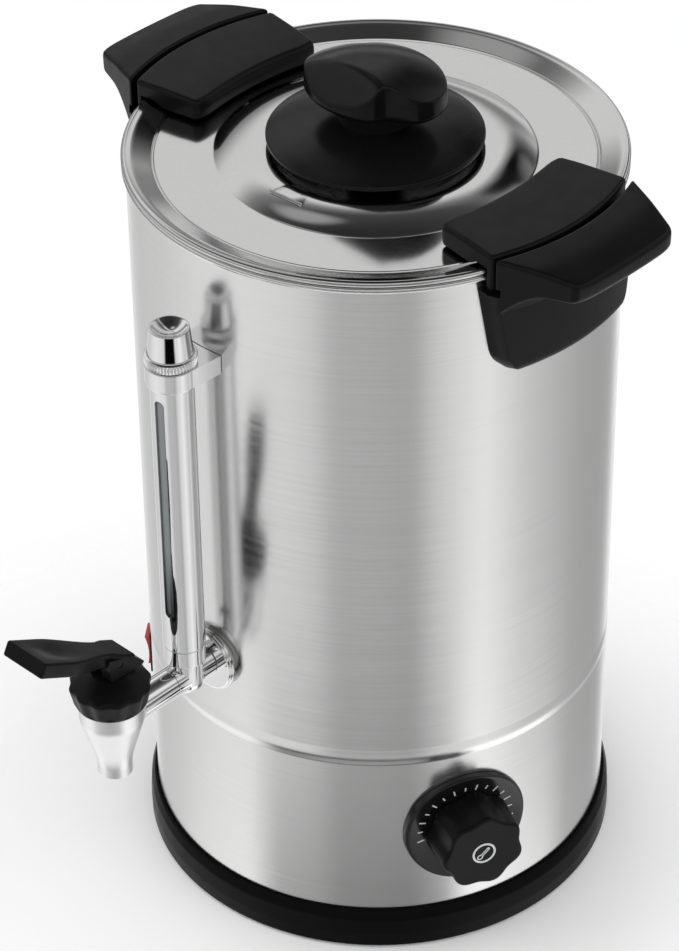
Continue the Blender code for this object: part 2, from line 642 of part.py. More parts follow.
# ---------------------------------------------------------------- base
def make_base(kettle):
    """The moulded base ring, the plate that closes it, its screws and its rubber feet."""
    skirt_in = BASE_RADIUS - BASE_SKIRT
    seat = WALL_RADIUS + GAP
    ledge_low = BASE_LEDGE_Z - BASE_LEDGE
    side = [(BASE_RADIUS, FOOT_DROP + 0.0012), (BASE_RADIUS + 0.0001, 0.4 * BASE_TOP_Z),
            (BASE_RADIUS - 0.0006, 0.75 * BASE_TOP_Z), (seat + BASE_TOP_EDGE, BASE_TOP_Z - 0.0012)]
    profile = [(skirt_in, FOOT_DROP), (BASE_RADIUS - 0.0010, FOOT_DROP)] + side
    profile += [(seat + 0.5 * BASE_TOP_EDGE, BASE_TOP_Z), (seat, BASE_TOP_Z), (seat, BASE_LEDGE_Z),
                (BASE_LEDGE_IN, BASE_LEDGE_Z), (BASE_LEDGE_IN, ledge_low), (skirt_in, ledge_low)]
    base = add("base_ring", lathe(profile, TURNS), "black_moulding", kettle)
    plate_radius = skirt_in - GAP
    plate = add("base_plate", rod(plate_radius, PLATE_Z, PLATE_Z + PLATE_SHEET, TURNS), "zinc_steel", kettle)
    for i in range(4):
        spoke = empty(f"spoke_{i + 1}", kettle, (0, 0, 0), 45 + 90 * i)
        hole = cutter(f"hole_foot_{i + 1}", rod(FOOT_STUD + GAP, 0, BASE_LEDGE_Z, SMALL), spoke,
                      (FOOT_CIRCLE, 0, 0))
        stud_top = PLATE_Z + PLATE_SHEET + 0.0016
        foot = [(0, 0), (FOOT_RADIUS - 0.0008, 0), (FOOT_RADIUS, 0.0008), (FOOT_RADIUS, PLATE_Z - GAP),
                (FOOT_STUD, PLATE_Z - GAP), (FOOT_STUD, stud_top), (0, stud_top)]
        add(f"foot_{i + 1}", lathe(foot, TINY), "rubber", spoke, (FOOT_CIRCLE, 0, 0))
        bearing = 22.5
        place = (BASE_SCREW_CIRCLE * math.cos(math.radians(bearing)),
                 BASE_SCREW_CIRCLE * math.sin(math.radians(bearing)), 0)
        drill = cutter(f"hole_base_{i + 1}", rod(SCREW_RADIUS + GAP, 0, 2 * BASE_LEDGE_Z, TINY), spoke, place)
        vent = cutter(f"hole_vent_{i + 1}",
                      sector(PLATE_VENT_CIRCLE - PLATE_VENT_HALF, PLATE_VENT_CIRCLE + PLATE_VENT_HALF,
                             -25, 25, 0, BASE_LEDGE_Z, 4), spoke)
        cut(plate, hole, drill, vent)
        cut(base, drill)
        screw(f"base_screw_{i + 1}", spoke, (place[0], place[1], PLATE_Z - GAP), DOWNWARDS,
              BASE_LEDGE_Z + 0.002 - PLATE_Z)


# ---------------------------------------------------------------- tap
def cone_radius(z):
    """Outside radius of the tap's cone at a height: a cone up to the shoulder and a collar above it."""
    if z > CONE_SHOULDER_Z:
        share = (z - CONE_SHOULDER_Z) / (CONE_TOP_Z - CONE_SHOULDER_Z)
        return CONE_SHOULDER_RADIUS + (CONE_TOP_RADIUS - CONE_SHOULDER_RADIUS) * share
    share = (z - NOZZLE_TOP_Z) / (CONE_SHOULDER_Z - NOZZLE_TOP_Z)
    return NOZZLE_RADIUS + (CONE_SHOULDER_RADIUS - NOZZLE_RADIUS) * share


def make_tee(kettle):
    """The tee that passes the wall, feeds the tap and carries the sight gauge, with its fixings."""
    nipple_end = WALL_INSIDE - NIPPLE_IN
    shoulder = FLANGE_AT + FLANGE_THICK + GAP
    pipe = [(0, nipple_end), (NIPPLE_RADIUS, nipple_end), (NIPPLE_RADIUS, shoulder),
            (PIPE_RADIUS, shoulder), (PIPE_RADIUS, TEE_JOINT), (0, TEE_JOINT)]
    tee = add("tee_body", lathe(pipe, MIDDLE, "-Y"), "chrome", kettle, (0, 0, TAP_PIPE_Z))
    upright = [(0, TAP_PIPE_Z - TEE_UP_RADIUS), (0.6 * TEE_UP_RADIUS, TAP_PIPE_Z - 0.93 * TEE_UP_RADIUS),
               (TEE_UP_RADIUS, TAP_PIPE_Z - 0.6 * TEE_UP_RADIUS), (TEE_UP_RADIUS, COLLAR_LOW_Z - 0.0010),
               (COLLAR_RADIUS, COLLAR_LOW_Z), (COLLAR_RADIUS, COLLAR_TOP_Z), (0, COLLAR_TOP_Z)]
    gauge_spot = (0, -GAUGE_AXIS, 0)
    join(tee, cutter("tee_upright", lathe(upright, MIDDLE), kettle, gauge_spot))
    throat = TAP_PIPE_Z + 0.23 * PIPE_BORE
    socket = [(0, throat), (GLASS_RADIUS - GLASS_WALL, throat),
              (GLASS_RADIUS - GLASS_WALL, COLLAR_TOP_Z - SOCKET_DEEP),
              (SOCKET_RADIUS, COLLAR_TOP_Z - SOCKET_DEEP), (SOCKET_RADIUS, COLLAR_TOP_Z + 0.01),
              (0, COLLAR_TOP_Z + 0.01)]
    bore = rod(PIPE_BORE, nipple_end - 0.01, TEE_JOINT + 0.01, SMALL, "-Y")
    cut(tee, cutter("tee_bore", bore, kettle, (0, 0, TAP_PIPE_Z), (0, math.radians(7), 0)),
        cutter("tee_socket", lathe(socket, SMALL), kettle, gauge_spot))

    spot = (0, 0, TAP_PIPE_Z)
    hull = cutter("wall_outside", rod(WALL_RADIUS + GAP, 0, RIM_Z, TURNS), kettle)
    washer = ring(NIPPLE_RADIUS + GAP, WASHER_RADIUS, WALL_RADIUS - 0.002, FLANGE_AT - GAP, MIDDLE, "-Y")
    cut(add("tap_washer_outer", washer, "silicone", kettle, spot), hull)
    edge = 0.0008
    front = FLANGE_AT + FLANGE_THICK
    flange = [(NIPPLE_RADIUS + GAP, FLANGE_AT), (FLANGE_RADIUS, FLANGE_AT),
              (FLANGE_RADIUS, FLANGE_AT + 0.45 * FLANGE_THICK),
              (FLANGE_RADIUS - edge, FLANGE_AT + 0.55 * FLANGE_THICK),
              (FLANGE_RADIUS - edge, front - edge), (FLANGE_RADIUS - 2 * edge, front),
              (NIPPLE_RADIUS + GAP, front)]
    add("tap_flange", lathe(flange, MIDDLE, "-Y"), "chrome", kettle, spot)
    inner_seat = math.sqrt(WALL_INSIDE ** 2 - WASHER_RADIUS ** 2) - GAP
    washer = ring(NIPPLE_RADIUS + GAP, WASHER_RADIUS, inner_seat - WASHER_THICK, inner_seat, MIDDLE, "-Y")
    add("tap_washer_inner", washer, "silicone", kettle, spot)
    nut_front = inner_seat - WASHER_THICK - GAP
    nut = rod(NUT_RADIUS, nut_front - NUT_THICK, nut_front, 6, "-Y")
    hole = rod(NIPPLE_RADIUS + GAP, nut_front - 2 * NUT_THICK, nut_front + 0.01, SMALL, "-Y")
    cut(add("tap_lock_nut", nut, "satin_steel", kettle, spot), cutter("nut_thread", hole, kettle, spot))


def make_tap_body(tap):
    """The cone with its nozzle and its inlet pipe: a chamber, a seat and an outlet bore inside."""
    heights = [NOZZLE_TOP_Z, CONE_SHOULDER_Z, CONE_TOP_Z]
    side = [(cone_radius(z), z) for z in heights]
    outer = [(0, NOZZLE_LOW_Z), (NOZZLE_RADIUS - 2 * NOZZLE_LIP, NOZZLE_LOW_Z),
             (NOZZLE_RADIUS - NOZZLE_LIP, NOZZLE_LOW_Z + NOZZLE_LIP)] + side + [(0, CONE_TOP_Z)]
    body = add("tap_body", lathe(outer, MIDDLE), "chrome", tap)
    arm = rod(PIPE_RADIUS, TEE_JOINT + GAP - TAP_AXIS, 0, MIDDLE, "-Y")
    join(body, cutter("tap_arm", arm, tap, (0, 0, TAP_PIPE_Z)))
    inside = [(0, SEAT_Z)] + [(cone_radius(z) - CONE_WALL, z) for z in [SEAT_Z] + heights if z >= SEAT_Z]
    top = CONE_TOP_Z + 0.005
    inside += [(inside[-1][0], top), (0, top)]
    chamber = cutter("tap_chamber", lathe(inside, MIDDLE), tap)
    outlet = cutter("tap_outlet", rod(NOZZLE_BORE, NOZZLE_LOW_Z - 0.01, SEAT_Z + 0.001, SMALL), tap)
    bore = rod(PIPE_BORE, TEE_JOINT - TAP_AXIS - 0.01, 0, SMALL, "-Y")
    cut(body, chamber, outlet, cutter("tap_bore", bore, tap, (0, 0, TAP_PIPE_Z)))


def make_bonnet(tap):
    """The black bonnet: a plug in the cone's mouth, a scalloped skirt, a flat top for the lever's hub."""
    low = CONE_TOP_Z + GAP
    bore = SPINDLE_RADIUS + RUN
    plug_z = CONE_TOP_Z - BONNET_PLUG
    plug = cone_radius(plug_z) - CONE_WALL - GAP
    edge = 0.0009
    middle = (0.5 * (BONNET_RADIUS + BONNET_LAND), 0.4 * BONNET_WIDE_Z + 0.6 * BONNET_TOP_Z)
    profile = [(bore, plug_z), (plug, plug_z), (plug, low), (BONNET_LOW_RADIUS, low),
               (BONNET_LOW_RADIUS + 0.5 * edge, low + edge), (BONNET_RADIUS, BONNET_WIDE_Z - edge),
               (BONNET_RADIUS - edge, BONNET_WIDE_Z + 0.3 * edge), middle,
               (BONNET_LAND, BONNET_TOP_Z), (bore, BONNET_TOP_Z)]
    bm = lathe(profile, 3 * BONNET_RIBS)
    for vert in bm.verts:
        if low + 0.0005 < vert.co.z < BONNET_WIDE_Z + 0.0005 and vert.co.xy.length > plug + 0.001:
            wave = math.cos(BONNET_RIBS * math.atan2(vert.co.y, vert.co.x))
            vert.co.xy *= 1 + BONNET_RIB * wave / BONNET_RADIUS
    add("tap_bonnet", bm, "black_moulding", tap)


def make_spindle(tap):
    """The spindle with the tongue that the lever straddles, its pin and the soft plug on the seat."""
    plug_low = SEAT_Z + GAP
    low = plug_low + PLUG_THICK - PLUG_SOCKET + GAP
    shoulder = BONNET_TOP_Z - SPINDLE_LIFT
    spindle = add("tap_spindle", rod(SPINDLE_RADIUS, low, shoulder, SMALL), "polished_steel", tap)
    tongue = block((-TONGUE_HALF_X, -TONGUE_HALF_Y, shoulder - TONGUE_ROOT),
                   (TONGUE_HALF_X, TONGUE_HALF_Y, LEVER_PIN_Z + TONGUE_TOP))
    join(spindle, cutter("spindle_tongue", tongue, tap))
    eye = rod(LEVER_PIN + RUN, -0.01, 0.01, SMALL, "X")
    cut(spindle, cutter("spindle_eye", eye, tap, (0, 0, LEVER_PIN_Z)))
    half = LEVER_HUB_HALF - GAP
    add("lever_pin", rod(LEVER_PIN, -half, half, SMALL, "X"), "polished_steel", tap, (0, 0, LEVER_PIN_Z))
    top = plug_low + PLUG_THICK
    floor = top - PLUG_SOCKET
    socket = SPINDLE_RADIUS + GAP
    plug = [(0, plug_low), (PLUG_RADIUS - 0.0008, plug_low), (PLUG_RADIUS, plug_low + 0.0008),
            (PLUG_RADIUS, top), (socket, top), (socket, floor), (0, floor)]
    add("seat_plug", lathe(plug, MIDDLE), "silicone", tap)


def ease(t):
    """A smooth step from 0 to 1."""
    t = min(max(t, 0), 1)
    return t * t * (3 - 2 * t)


def lever_half_width(s):
    """Half of the lever's width at a distance from its pin."""
    flare = LEVER_LENGTH - LEVER_BLADE - LEVER_FLARE
    half = LEVER_HUB_HALF + (LEVER_HALF_NECK - LEVER_HUB_HALF) * ease(s / flare)
    return half + (LEVER_HALF_END - LEVER_HALF_NECK) * ease((s - flare) / LEVER_FLARE)


def make_lever(tap):
    """The lever: a heel round its pin and an arm that rises to a wide, dished blade."""
    tilt = math.radians(LEVER_ANGLE)
    edge = 0.0009
    sections = []
    blade = LEVER_LENGTH - LEVER_BLADE
    flare = blade - LEVER_FLARE
    stations = [-LEVER_BACK, 0.0, 0.5 * flare, flare]
    stations += [flare + share * LEVER_FLARE for share in (0.25, 0.5, 0.75, 1.0)]
    stations += [blade + 0.5 * LEVER_BLADE, LEVER_LENGTH - edge, LEVER_LENGTH]
    for s in stations:
        dish = LEVER_DISH * math.exp(-((s - blade) / (0.5 * LEVER_BLADE)) ** 2)
        inset = edge if s == LEVER_LENGTH else 0.0
        top = LEVER_OFFSET - inset
        low = LEVER_OFFSET - LEVER_THICK + inset
        half = lever_half_width(s) - inset
        right = [(half - edge, low), (half, low + edge), (half, top - edge), (half - edge, top),
                 (0.55 * half, top - 0.7 * dish), (0, top - dish)]
        outline = right + [(-w, t) for w, t in right[-2::-1]]
        sections.append([(w, -s * math.cos(tilt) + t * math.sin(tilt), s * math.sin(tilt) + t * math.cos(tilt))
                         for w, t in outline])
    pin = (0, 0, LEVER_PIN_Z)
    lever = add("tap_lever", loft(sections), "black_moulding", tap, pin)
    back = (LEVER_BACK * math.cos(tilt) + LEVER_OFFSET * math.sin(tilt) - edge,
            LEVER_OFFSET * math.cos(tilt) - LEVER_BACK * math.sin(tilt) - 0.5 * edge)
    side = [back, (LEVER_HEEL, edge - LEVER_DROP), (LEVER_HEEL - edge, -LEVER_DROP),
            (-LEVER_TOE, -LEVER_DROP), (-LEVER_TOE - edge, 0.0), (-LEVER_TOE - edge, LEVER_TOE)]
    heel = loft([[(x, y, z) for y, z in side] for x in (-LEVER_HUB_HALF, LEVER_HUB_HALF)])
    join(lever, cutter("lever_heel", heel, tap, pin))
    swing = math.hypot(TONGUE_HALF_Y, TONGUE_TOP) + RUN
    half = TONGUE_HALF_Y + 2 * RUN
    deep = 1.5 * LEVER_DROP
    open_angle = math.degrees(math.acos(half / swing))
    travel = math.radians(LEVER_TRAVEL)
    mouth = arc((0, 0), swing, -open_angle, 180 + open_angle - LEVER_TRAVEL, 10)
    mouth += [(-half * math.cos(travel) - deep * math.sin(travel), half * math.sin(travel) - deep * math.cos(travel)),
              (half, -deep)]
    slot = loft([[(x, y, z) for y, z in mouth] for x in (-SLOT_X, SLOT_X)])
    cut(lever, cutter("lever_slot", slot, tap, pin),
        cutter("lever_eye", rod(LEVER_PIN + RUN, -0.02, 0.02, SMALL, "X"), tap, pin))


# ---------------------------------------------------------------- sight gauge
def make_gauge(gauge, kettle):
    """The glass between its two seals, the slotted guard, the head on its arm and the knurled cap."""
    floor = COLLAR_TOP_Z - SOCKET_DEEP
    glass_top = NIPPLE_TOP_Z
    add("gauge_glass", ring(GLASS_RADIUS - GLASS_WALL, GLASS_RADIUS, floor + GAP, glass_top, SMALL), "glass", gauge)
    seal_low = ring(GLASS_RADIUS + GAP, SOCKET_RADIUS - GAP, floor + GAP, COLLAR_TOP_Z - GAP, SMALL)
    add("gauge_seal_lower", seal_low, "silicone", gauge)

    low, high = COLLAR_TOP_Z + GAP, HEAD_LOW_Z - GAP
    guard = add("gauge_guard", ring(GUARD_RADIUS - GUARD_WALL, GUARD_RADIUS, low, high, MIDDLE), "chrome", gauge)
    half = GUARD_SLOT / 2
    slot = arc((0, high - GUARD_SLOT_TOP), half, 0, 180, 6) + arc((0, low + GUARD_SLOT_LOW), half, 180, 360, 6)
    window = loft([[(x, y, z) for x, z in slot] for y in (-2 * GUARD_RADIUS, 0)])
    cut(guard, cutter("guard_window", window, gauge, (0, 0, 0), (0, 0, math.radians(GUARD_TWIST))))

    nipple = [(0, HEAD_LOW_Z), (HEAD_RADIUS - 0.0006, HEAD_LOW_Z), (HEAD_RADIUS, HEAD_LOW_Z + 0.0006),
              (HEAD_RADIUS, HEAD_TOP_Z - 0.0006), (HEAD_RADIUS - 0.0006, HEAD_TOP_Z),
              (HEAD_NIPPLE, HEAD_TOP_Z), (HEAD_NIPPLE, NIPPLE_TOP_Z), (0, NIPPLE_TOP_Z)]
    head = add("gauge_head", lathe(nipple, MIDDLE), "chrome", gauge)
    wall_at = GAUGE_AXIS - WALL_RADIUS + 0.004
    edge = 0.0006
    arm = prism([(-HEAD_RADIUS + 0.0002, 0), (HEAD_RADIUS - 0.0002, 0), (HEAD_ARM_HALF, wall_at),
                 (-HEAD_ARM_HALF, wall_at)], HEAD_LOW_Z + edge, HEAD_TOP_Z - edge)
    join(head, cutter("head_arm", arm, gauge))
    hull = cutter("wall_beside_head", rod(WALL_RADIUS + GAP, 0, RIM_Z, TURNS), kettle)
    thread = rod(SCREW_RADIUS + RUN, GAUGE_AXIS - WALL_RADIUS - 0.0075, GAUGE_AXIS, TINY, "-Y")
    bmesh.ops.rotate(thread, verts=thread.verts, matrix=Matrix.Rotation(math.radians(180), 3, "Z"))
    cut(head, hull, cutter("head_thread", thread, gauge, (0, 0, GAUGE_SCREW_Z)),
        cutter("head_bore", rod(GLASS_RADIUS + GAP, HEAD_LOW_Z - 0.01, NIPPLE_TOP_Z + 0.01, SMALL), gauge))
    screw("gauge_screw", kettle, (0, -WALL_INSIDE + GAP, GAUGE_SCREW_Z), (math.radians(-90), 0, 0), 0.0072)

    seal_z = NIPPLE_TOP_Z + GAP
    seal = ring(0.6 * GLASS_RADIUS, HEAD_NIPPLE - GAP, seal_z, seal_z + SEAL_THICK, SMALL)
    add("gauge_seal_upper", seal, "silicone", gauge)
    roof = seal_z + SEAL_THICK + GAP
    low = HEAD_TOP_Z + GAP
    top = low + CAP_HEIGHT
    bore = HEAD_NIPPLE + RUN
    shoulder = low + CAP_KNURL_HIGH
    profile = [(bore, low), (CAP_KNURL_RADIUS - 0.0006, low), (CAP_KNURL_RADIUS, low + 0.0006),
               (CAP_KNURL_RADIUS, shoulder - 0.0006), (CAP_LOW_RADIUS + 0.0003, shoulder),
               (CAP_LOW_RADIUS, shoulder + 0.0006)]
    profile += [(CAP_TOP_RADIUS, top - 0.0020), (CAP_TOP_RADIUS - 0.0006, top - 0.0006),
                (CAP_TOP_RADIUS - 0.0020, top)]
    profile += [(0.62 * CAP_TOP_RADIUS, top - CAP_DISH), (0.16 * CAP_TOP_RADIUS, top - CAP_DISH),
                (0.10 * CAP_TOP_RADIUS, top - 0.6 * CAP_DISH), (0, top - 0.6 * CAP_DISH)]
    profile = [(0, roof), (bore, roof)] + profile
    bm = lathe(profile, 2 * CAP_RIBS)
    for vert in bm.verts:
        if vert.co.xy.length > CAP_KNURL_RADIUS - 0.0001:
            wave = math.cos(CAP_RIBS * math.atan2(vert.co.y, vert.co.x))
            vert.co.xy *= 1 + CAP_RIB * (wave - 1) / (2 * CAP_KNURL_RADIUS)
    add("gauge_cap", bm, "chrome", gauge)


# ---------------------------------------------------------------- lid
def trough(t, drop=0.0):
    """A point of the lid's hollow between the crease and the crest."""
    radius = CREASE_RADIUS + (CREST_RADIUS - CREASE_RADIUS) * t
    return radius, CREASE_Z + (CREST_Z - CREASE_Z) * t * t - drop


def lid_outline(steps, drop=0.0):
    """The lid's outline from the crest inwards, moved down by a sheet's thickness if asked."""
    points = [trough(i / steps, drop) for i in range(steps, -1, -1)]
    rise = PLATEAU_Z - CREASE_Z
    for i in range(steps):
        t = i / (steps - 1)
        ease = math.sin(math.pi * t / 2)
        points.append((STEP_OUT + (STEP_IN - STEP_OUT) * t, CREASE_Z + rise * ease - drop))
    return points


def make_lid(lid, sides):
    """The pressed lid: a rolled rim, a trough, a flat ring, a raised plateau and a steam louvre."""
    hole = SCREW_RADIUS + GAP
    under = lid_outline(2, SHEET)
    inner_join = math.degrees(math.asin((CREST_Z - SHEET - LID_RIM_Z) / ROLL_RADIUS))
    roll = arc((RIM_RADIUS - ROLL_RADIUS, LID_RIM_Z), ROLL_RADIUS, 180 - inner_join, 480, 5)
    profile = [(hole, PLATEAU_Z - SHEET)] + under[::-1] + roll + lid_outline(3) + [(hole, PLATEAU_Z)]
    pan = add("lid_pan", lathe(profile, TURNS), "polished_steel", lid)
    for name, side in sides.items():
        drill = rod(SCREW_RADIUS + GAP, CREASE_Z - 0.01, CREASE_Z + 0.01, TINY)
        cut(pan, cutter(f"hole_ear_{name}", drill, side, (EAR_SCREW_AT, 0, 0)))
    hood = []
    for k in range(5):
        t = k / 4
        half = VENT_HALF * math.sqrt(1 - 0.35 * t)
        rise = VENT_RISE * (1 - t) ** 1.3
        y = -VENT_RADIUS + VENT_DEEP * t
        line = [(half * math.sin(math.radians(a)), rise * math.cos(math.radians(a)) ** 0.6)
                for a in (-89, -45, 0, 45, 89)]
        top = [(x, y, PLATEAU_Z + max(z, 0.00005)) for x, z in line]
        low = [(x, y, PLATEAU_Z - 0.5 * SHEET) for x, z in line[::-1]]
        hood.append(top + low)
    turn = (0, 0, math.radians(VENT_TURN))
    join(pan, cutter("vent_hood", loft(hood), lid, (0, 0, 0), turn))
    scoop = []
    for k in range(4):
        t = k / 3
        half = 0.88 * VENT_HALF * math.sqrt(1 - 0.35 * t)
        rise = (VENT_RISE - 0.0006) * (1 - t)
        y = -VENT_RADIUS - 0.001 + 0.8 * VENT_DEEP * t
        scoop.append([(-half, y, PLATEAU_Z - 2 * SHEET), (half, y, PLATEAU_Z - 2 * SHEET),
                      (half, y, PLATEAU_Z + 0.2 * rise), (0.7 * half, y, PLATEAU_Z + 0.8 * rise),
                      (-0.7 * half, y, PLATEAU_Z + 0.8 * rise), (-half, y, PLATEAU_Z + 0.2 * rise)])
    cut(pan, cutter("vent_scoop", loft(scoop), lid, (0, 0, 0), turn))

    outer = RIM_RADIUS - 2 * ROLL_RADIUS - SEAL_RING_GAP
    inner = outer - SEAL_RING_WIDE
    low = RIM_Z - SEAL_RING_LOW
    share = [(r - CREASE_RADIUS) / (CREST_RADIUS - CREASE_RADIUS) for r in (inner, outer)]
    top = [trough(share[0] + (share[1] - share[0]) * i / 2, SHEET + GAP) for i in range(3)]
    seal = [(inner + 0.0010, low), (outer - 0.0006, low)] + top[::-1]
    add("lid_seal", lathe(seal, TURNS), "silicone", lid)


STATIONS = (-1.0, -0.965, -0.88, -0.7, -0.4, 0, 0.4, 0.7, 0.88, 0.965, 1.0)


def make_ear(name, side):
    """The lid's half of a handle: a plate over the rim, a leg outside it with a locking lug."""
    inner_corner = (EAR_REACH, EAR_HALF_IN)
    edge = HANDLE_EDGE
    over = LID_RIM_Z + ROLL_RADIUS + EAR_OVER_RIM
    under = CREASE_Z + EAR_UNDER
    sections = []
    for u in STATIONS:
        angle = math.radians(u * GROOVE_ANGLE)
        start = (EAR_OUT * math.cos(angle), EAR_OUT * math.sin(angle))
        end = (inner_corner[0] + EAR_HOLLOW * (1 - u * u), inner_corner[1] * u)
        length = math.dist(start, end)
        step = ((end[0] - start[0]) / length, (end[1] - start[1]) / length)
        reach = length - EAR_CORNER * abs(u) ** 14
        cap = 0.0 if abs(u) < 1 else edge
        if abs(u) == 0.965:
            cap = 0.3 * edge
        top = HANDLE_TOP_Z - cap
        section = [(0, LEDGE_Z + GAP), (0, top - edge), (edge, top), (0.5 * reach, top + 0.0003),
                   (reach - 2 * edge, top - 0.0004), (reach - 0.6 * edge, top - 0.0012), (reach, top - 0.0036),
                   (reach - 0.0004, under + edge), (reach - edge, under), (EAR_LEG + 0.0110, under),
                   (EAR_LEG + 0.0075, over), (EAR_LEG, over), (EAR_LEG, LEDGE_Z + GAP)]
        sections.append([(start[0] + step[0] * s, start[1] + step[1] * s, z) for s, z in section])
    ear = add(f"lid_ear_{name}", loft(sections), "black_moulding", side)
    lug = sector(EAR_OUT - 0.5 * EAR_LEG, EAR_OUT + LUG_PROUD, LUG_FROM, LUG_TO,
                 LEDGE_Z + GAP, LEDGE_Z + GAP + LUG_HIGH, 4)
    boss = rod(EAR_BOSS, CREASE_Z + GAP, under + 0.003, SMALL)
    join(ear, cutter(f"ear_lug_{name}", lug, side), cutter(f"ear_boss_{name}", boss, side, (EAR_SCREW_AT, 0, 0)))
    thread = rod(SCREW_RADIUS + RUN, CREASE_Z - 0.01, CREASE_Z + 0.0090, TINY)
    cut(ear, cutter(f"ear_thread_{name}", thread, side, (EAR_SCREW_AT, 0, 0)))
    screw(f"ear_screw_{name}", side, (EAR_SCREW_AT, 0, CREASE_Z - SHEET - GAP), DOWNWARDS, 0.0085)


def make_handle(name, side):
    """A side handle: the bracket on the wall, the grip beside the lid's ear and the catch for its lug."""
    back = WALL_RADIUS + GAP
    steps = 8
    rows = ((0.0000, 0.80, 0.45), (0.0010, 0.89, 0.78), (0.0040, 0.96, 0.97), (0.0100, 1.0, 1.0),
            (LEDGE_Z - BRACKET_LOW_Z, 1.0, 1.0))
    sections = []
    for up, spread, depth in rows:
        z = BRACKET_LOW_Z + up
        share = up / (LEDGE_Z - BRACKET_LOW_Z)
        wall_angle = spread * (BRACKET_ANGLE_LOW + (BRACKET_ANGLE_TOP - BRACKET_ANGLE_LOW) * share)
        front_angle = wall_angle - BRACKET_SIDE
        front = back + (BRACKET_FRONT - back) * depth
        section = arc((0, 0), back, -wall_angle, wall_angle, steps)
        soft = math.radians(wall_angle - 0.35 * BRACKET_SIDE)
        middle = back + 0.6 * (front - back)
        section.append((middle * math.cos(soft), middle * math.sin(soft)))
        section += arc((0, 0), front, front_angle, -front_angle, steps)
        section.append((middle * math.cos(soft), -middle * math.sin(soft)))
        sections.append([(x, y, z) for x, y in section])
    bracket = cutter(f"bracket_{name}", loft(sections), side)

    edge = HANDLE_EDGE
    sections = []
    for u in STATIONS:
        angle = math.radians(u * GROOVE_ANGLE)
        start = (HANDLE_IN * math.cos(angle), HANDLE_IN * math.sin(angle))
        end = (HANDLE_REACH - HANDLE_BOW * u * u, HANDLE_HALF_END * u)
        length = math.dist(start, end)
        step = ((end[0] - start[0]) / length, (end[1] - start[1]) / length)
        reach = length - GRIP_CORNER * abs(u) ** 12
        cap = 0.0 if abs(u) < 1 else edge
        if abs(u) == 0.965:
            cap = 0.3 * edge
        top = HANDLE_TOP_Z - cap
        out = top - HANDLE_DROOP
        low = HANDLE_TOP_Z - HANDLE_DROOP - HANDLE_PLATE + 0.6 * cap
        section = [(0, LEDGE_Z - 0.002), (0, top - edge), (edge, top), (0.5 * reach, top - 0.25 * HANDLE_DROOP),
                   (reach - edge, out), (reach, out - edge), (reach - 0.0004, low + 1.5 * edge),
                   (reach - 1.5 * edge, low), (0.62 * reach, low - 0.0004), (0.40 * reach, low - 0.0030),
                   (0.22 * reach, low - 0.0080), (0.0026, HANDLE_ROOT_Z)]
        sections.append([(start[0] + step[0] * s, start[1] + step[1] * s, z) for s, z in section])
    handle = add(f"handle_{name}", loft(sections), "black_moulding", side)
    first = LUG_TO + LUG_PLAY
    catch_z = LEDGE_Z + LUG_HIGH + 2 * GAP
    catch = sector(HANDLE_IN - CATCH_PROUD, HANDLE_IN + 0.001, first, first + CATCH_ANGLE,
                   catch_z, catch_z + CATCH_HIGH, 4)
    join(handle, bracket)
    channel = sector(HANDLE_IN - 0.002, HANDLE_IN + CHANNEL_DEEP, -2 * GROOVE_ANGLE, 2 * GROOVE_ANGLE,
                     LEDGE_Z - RUN, LEDGE_Z + CHANNEL_HIGH, 16)
    thread = rod(SCREW_RADIUS + RUN, back - 0.01, BRACKET_FRONT - 0.0025, TINY, "X")
    cut(handle, cutter(f"channel_{name}", channel, side),
        cutter(f"handle_thread_{name}", thread, side, (0, 0, HANDLE_SCREW_Z)))
    join(handle, cutter(f"catch_{name}", catch, side))

    strap_out = WALL_INSIDE - GAP
    strap_in = strap_out - STRAP_THICK
    strap = sector(strap_in, strap_out, -STRAP_HALF_ANGLE, STRAP_HALF_ANGLE,
                   HANDLE_SCREW_Z - STRAP_HALF_HIGH, HANDLE_SCREW_Z + STRAP_HALF_HIGH, 5)
    strap = add(f"handle_strap_{name}", strap, "satin_steel", side)
    hole = rod(SCREW_RADIUS + GAP, strap_in - 0.005, strap_out + 0.005, TINY, "X")
    cut(strap, cutter(f"strap_hole_{name}", hole, side, (0, 0, HANDLE_SCREW_Z)))
    screw(f"handle_screw_{name}", side, (strap_in - GAP, 0, HANDLE_SCREW_Z), INWARDS,
          BRACKET_FRONT - 0.0035 - strap_in)


def grip_radius(bearing):
    """The grip's outline: an oblong with a thumb dent on each side; degrees from its long axis."""
    along = abs(math.cos(math.radians(bearing))) / GRIP_HALF_LONG
    across = abs(math.sin(math.radians(bearing))) / GRIP_HALF_WIDE
    radius = (along ** GRIP_POWER + across ** GRIP_POWER) ** (-1 / GRIP_POWER)
    for side in (0, 180):
        away = (bearing - GRIP_DENT_AT - side + 180) % 360 - 180
        radius *= 1 - GRIP_DENT * math.exp(-(away / GRIP_DENT_WIDE) ** 2)
    return radius


